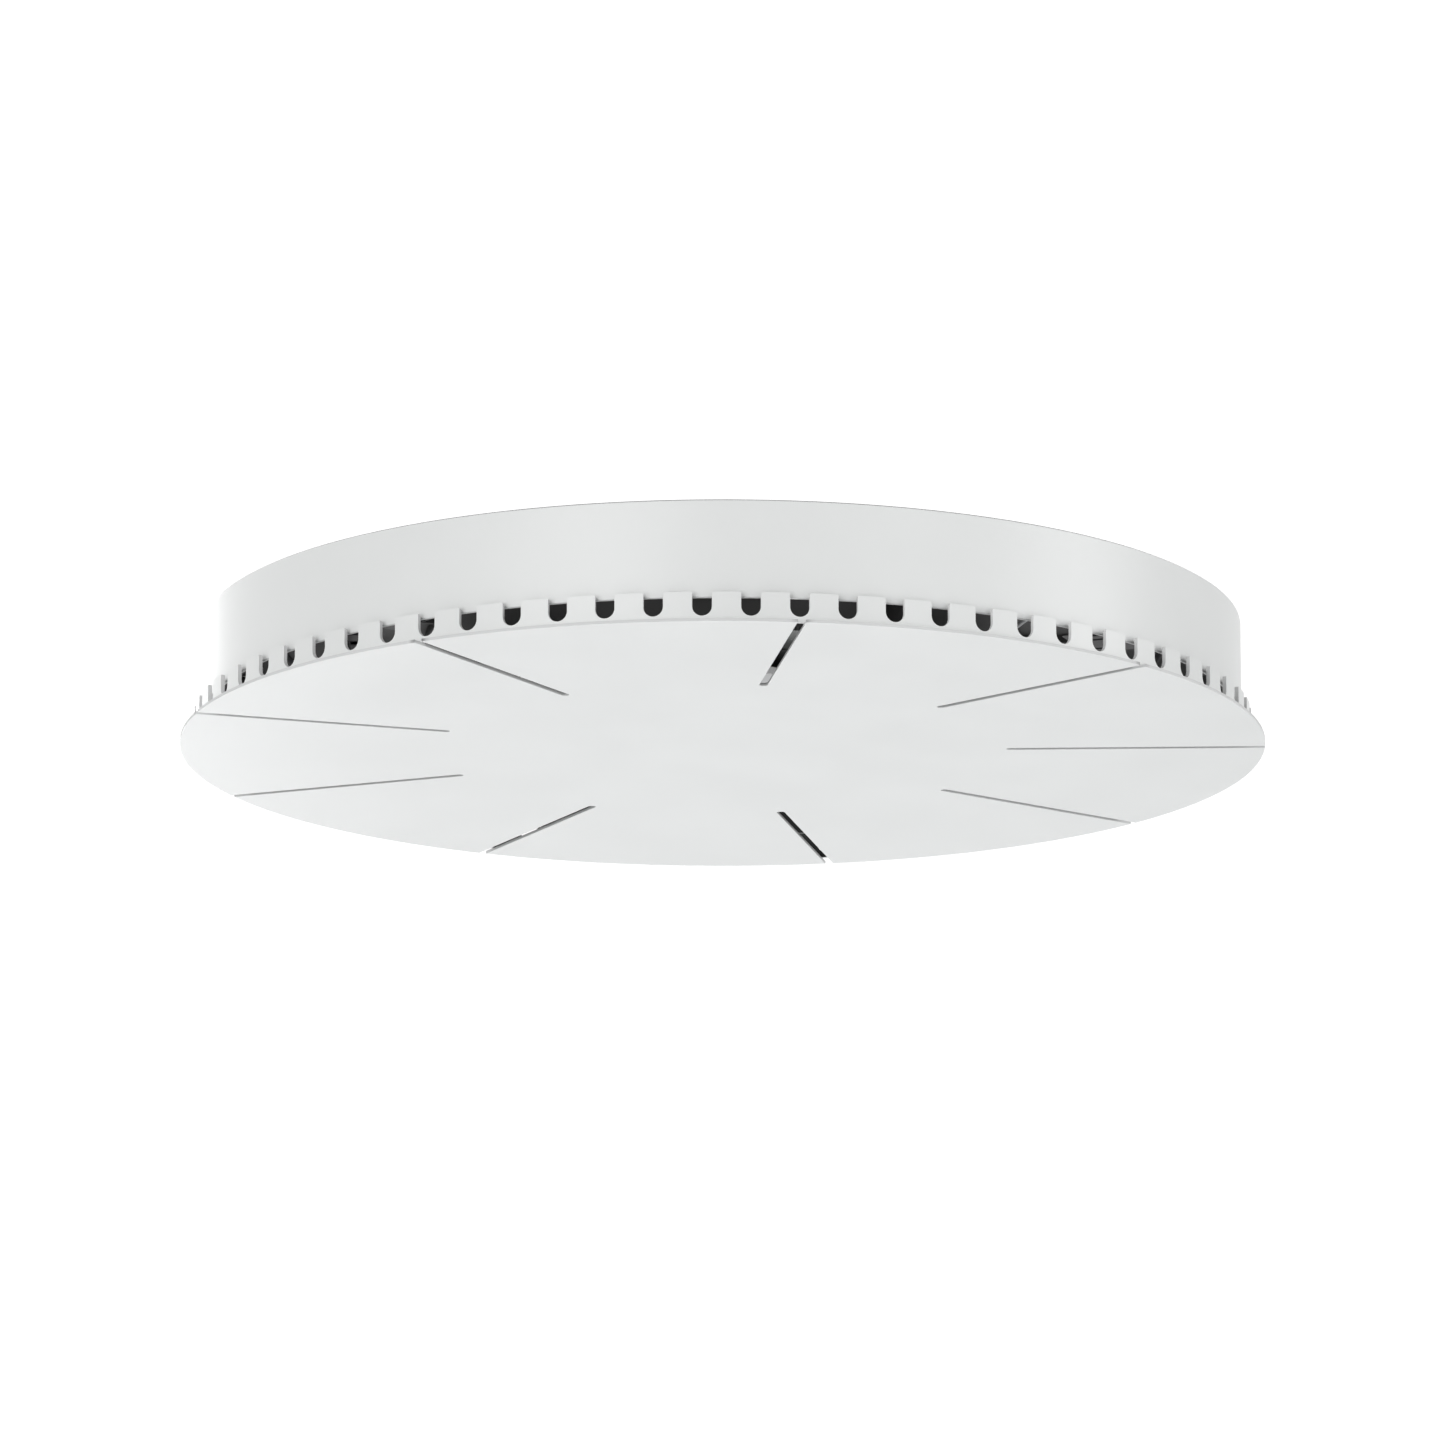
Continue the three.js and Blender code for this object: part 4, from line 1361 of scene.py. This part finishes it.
def makeContacts():
    half, length = jackContacts["half"], jackContacts["halfLength"]
    for node in numbered("ethernet_jack"):
        low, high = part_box(node)
        place = (0, high.y - jackContacts["behindMouth"], high.z - jackContacts["belowTop"])
        lean = Matrix.Translation(place) @ Matrix.Rotation(math.radians(jackContacts["lean"]), 4, "X")
        meshes = []
        for i in range(jackContacts["count"]):
            x = (low.x + high.x) / 2 + (i - (jackContacts["count"] - 1) / 2) * jackContacts["pitch"]
            wire = boxMesh((x - half, -length, -half), (x + half, length, half), jackContacts["edge"])
            wire.transform(lean)
            meshes.append(wire)
        piece = addObject(node + "_contacts", joined(node + "_contacts", meshes), ["goldContact"])
        softEdges(piece, 0)
        settle(piece, "access_point", "tin_plate")


consoleTongue = {             # how far inside the port's box
    "sides": 1.4 * mm,
    "back": 1.5 * mm,
    "front": 1 * mm,
    "under": 2.1 * mm,
    "over": 1.4 * mm,
    "edge": 0.15 * mm,
}


def makeConsoleTongue():
    low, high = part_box("console_port")
    t = consoleTongue
    tongueLow = (low.x + t["sides"], low.y + t["back"], high.z - t["under"])
    tongueHigh = (high.x - t["sides"], high.y - t["front"], high.z - t["over"])
    piece = addObject("console_tongue", boxMesh(tongueLow, tongueHigh, t["edge"]), ["jackPlastic"])
    softEdges(piece, 0)
    settle(piece, "access_point", "tin_plate")


resetPlunger = {
    "radius": 1.6 * mm,
    "flange": (0.8 * mm, 2 * mm),     # its two faces, from the button's back end
    "chamfer": 0.5 * mm,
    "dish": 0.15 * mm,
    "dishEdge": 0.12 * mm,
    "edge": 0.1 * mm,
}


def makeResetPlunger():
    low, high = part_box("reset_button")
    at, wide = middleOf("reset_button"), (high.x - low.x) / 2
    r, chamfer, dish = resetPlunger["radius"], resetPlunger["chamfer"], resetPlunger["dish"]
    flangeBack, flangeFront = (low.y + along for along in resetPlunger["flange"])
    profile = [
        (0, low.y), (r, low.y), (r, flangeBack), (wide, flangeBack), (wide, flangeFront), (r, flangeFront),
        (r, high.y - chamfer), (r - dish, high.y - dish), (r - chamfer, high.y),
        (r * 0.4, high.y - resetPlunger["dishEdge"]), (0, high.y - dish),
    ]
    mesh = lathedMesh("reset_plunger", profile, 48, closed=False)
    mesh.transform(Matrix.Translation((at.x, 0, at.z)) @ Matrix.Rotation(-math.pi / 2, 4, "X"))
    piece = addObject("reset_plunger", mesh, ["satinWhite"])
    softEdges(piece, resetPlunger["edge"])
    settle(piece, "reset_button", "white_shell", "reset_button")


keptNodes = {                 # finish, and the width of the rounded edges in millimetres
    "port_bay": ("matteBlack", 0.5),
    "ethernet_jack_1": ("tinPlate", 0.35),
    "ethernet_jack_2": ("tinPlate", 0.35),
    "console_port": ("tinPlate", 0.3),
    "reset_switch": ("chipBlack", 0.25),
    "thermal_pad": ("siliconePad", 0.2),
}


def dressKeptNodes():
    # frame nodes that are right as they are get a soft edge and their finish
    for node, (skin, width) in keptNodes.items():
        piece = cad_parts[node]
        piece.data.materials.clear()
        piece.data.materials.append(skins[skin])
        softEdges(piece, width * mm, 3, 35)


aerial = {
    "pitch": 40,
    "first": 20,              # degrees from +X
    "foot": 134 * mm,
    "web": 146 * mm,
    "webWidth": 12 * mm,
    "tip": 170 * mm,
    "width": 30 * mm,
    "metal": 0.8 * mm,
    "edge": 0.12 * mm,
    "webOut": 1.5 * mm,       # the web's foot lies on the plate this far
    "webRound": 0.3 * mm,
    "cornerRadius": 1.2 * mm,
    "step": (9 * mm, 5 * mm),     # notch in the plate's corner
    "slots": [                # x from the web and from the tip, y from one long side, in millimetres
        (4, 4, 9, 11.5),
        (4, 8, -7, -4.5),
    ],
    "slotRadius": 1.1 * mm,
    "footRound": 1 * mm,
    "rivet": (1.6 * mm, 5 * mm, 9 * mm),      # radius, from the foot's inner end, from its middle
}


def aerialPlate(plateZ):
    # the wide plate, with a stepped corner and two tuning slots
    web, edge = aerial["web"], aerial["edge"]
    start, end, half = web - aerial["metal"], aerial["tip"] - edge, aerial["width"] / 2 - edge
    stepAt, step = web + aerial["step"][0], aerial["step"][1] - half
    corners = [(start, -half), (stepAt, -half), (stepAt, step), (end, step), (end, half), (start, half)]
    loops = [roundedLoop(corners, aerial["cornerRadius"], 4)]
    for fromWeb, fromTip, y0, y1 in aerial["slots"]:
        side = -half if y0 > 0 else half
        x0, x1 = web + fromWeb * mm, aerial["tip"] - fromTip * mm
        loops.append(rectLoop(x0, side + y0 * mm, x1, side + y1 * mm, aerial["slotRadius"]))
    return plateMesh("radiator", loops, plateZ, plateZ + aerial["metal"], edge)


def aerialFoot(top):
    edge, foot = aerial["edge"], aerial["foot"]
    half = aerial["width"] / 2 - edge
    r, along, aside = aerial["rivet"]
    loops = [rectLoop(foot + edge, -half, aerial["web"] - edge, half, aerial["footRound"])]
    loops += [circleLoop(r, 20, foot + along, side * aside) for side in (1, -1)]
    return plateMesh("foot", loops, top - aerial["metal"], top, edge)


def makeAerials():
    lowest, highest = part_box("aerial_1")
    top, plateZ = highest.z, lowest.z
    metal, edge, foot, web = aerial["metal"], aerial["edge"], aerial["foot"], aerial["web"]
    footUnder, webInner, webOuter = top - metal + edge, web - metal + edge, web + aerial["webOut"]
    plateTop = plateZ + metal - edge
    section = [
        (foot, top - edge), (foot, footUnder), (webInner, footUnder), (webInner, plateZ + edge),
        (webOuter, plateZ + edge), (webOuter, plateTop), (web - edge, plateTop), (web - edge, top - edge),
    ]
    for i, node in enumerate(numbered("aerial")):
        angle = math.radians(aerial["first"] + aerial["pitch"] * i)
        meshes = [profilePiece("web", section, aerial["webWidth"], angle, edge, aerial["webRound"])]
        for flat in (aerialPlate(plateZ), aerialFoot(top)):
            flat.transform(Matrix.Rotation(angle, 4, "Z"))
            meshes.append(flat)
        piece = addObject(node + "_stamped", joined(node, meshes), ["blackenedTin"])
        softEdges(piece, 0)
        settle(piece, "access_point", "aerial_tin", node)


lead = {
    "radius": 0.7 * mm,
    "route": [                # radius, height over the cover's underside, sideways, in millimetres
        (134, 42.6, 0),
        (127, 42.2, 2),
        (119, 38.5, 4),
        (111, 31.5, 3),
        (104, 27.2, 1),
        (97, 26.2, 0),
    ],
    "plugBase": 24.95,        # height over the cover's underside
    "plug": [(1.3, 0), (1.3, 1.1), (1.0, 1.3), (1.0, 2.2)],       # radius and height, in millimetres
    "plugEdge": 0.1 * mm,
}


def makeLeads():
    base = coverBottom + lead["plugBase"] * mm
    plugProfile = [(radius * mm, base + up * mm) for radius, up in lead["plug"]]
    plugProfile = [(0, base)] + plugProfile + [(0, plugProfile[-1][1])]
    for i, node in enumerate(numbered("aerial_lead")):
        turn = Matrix.Rotation(math.radians(aerial["first"] + aerial["pitch"] * i), 4, "Z")
        curve = bpy.data.curves.new(node + "_coax", "CURVE")
        curve.dimensions = "3D"
        curve.bevel_depth = lead["radius"]
        curve.bevel_resolution = 4
        curve.resolution_u = 10
        curve.use_fill_caps = True
        spline = curve.splines.new("BEZIER")
        spline.bezier_points.add(len(lead["route"]) - 1)
        for point, (radius, height, sideways) in zip(spline.bezier_points, lead["route"]):
            point.co = turn @ Vector((radius * mm, sideways * mm, coverBottom + height * mm))
            point.handle_left_type = point.handle_right_type = "AUTO"
        piece = bpy.data.objects.new(node + "_coax", curve)
        scene.collection.objects.link(piece)
        curve.materials.append(skins["greyJacket"])
        settle(piece, "access_point", "lead_jacket", node)
        radius, height, sideways = lead["route"][-1]
        end = turn @ Vector((radius * mm, sideways * mm, 0))
        ferrule = lathedMesh("ferrule", plugProfile, 28, end.x, end.y, closed=False)
        plug = addObject(node + "_plug", ferrule, ["goldContact"])
        softEdges(plug, lead["plugEdge"])
        settle(plug, "access_point", "tin_plate")


skins = makeMaterials()
makeCamera()
makeWorld()
makeLights()
makeFloor()
print("studio set")
makeCoverDisc()
makeVentRing()
makePosts()
print("front cover made")
makeDrum()
makeSkirt()
makeDeck()
print("drum and chassis made")
makeBracket()
makeGrommet()
print("bracket made")
makeScrews()
makeBoard()
makeFilm()
makeSpreader()
makeProcessor()
makeCans()
makeCapacitors()
makeTransformer()
makeContacts()
makeConsoleTongue()
makeResetPlunger()
dressKeptNodes()
print("board made")
makeAerials()
makeLeads()
print("aerials made")
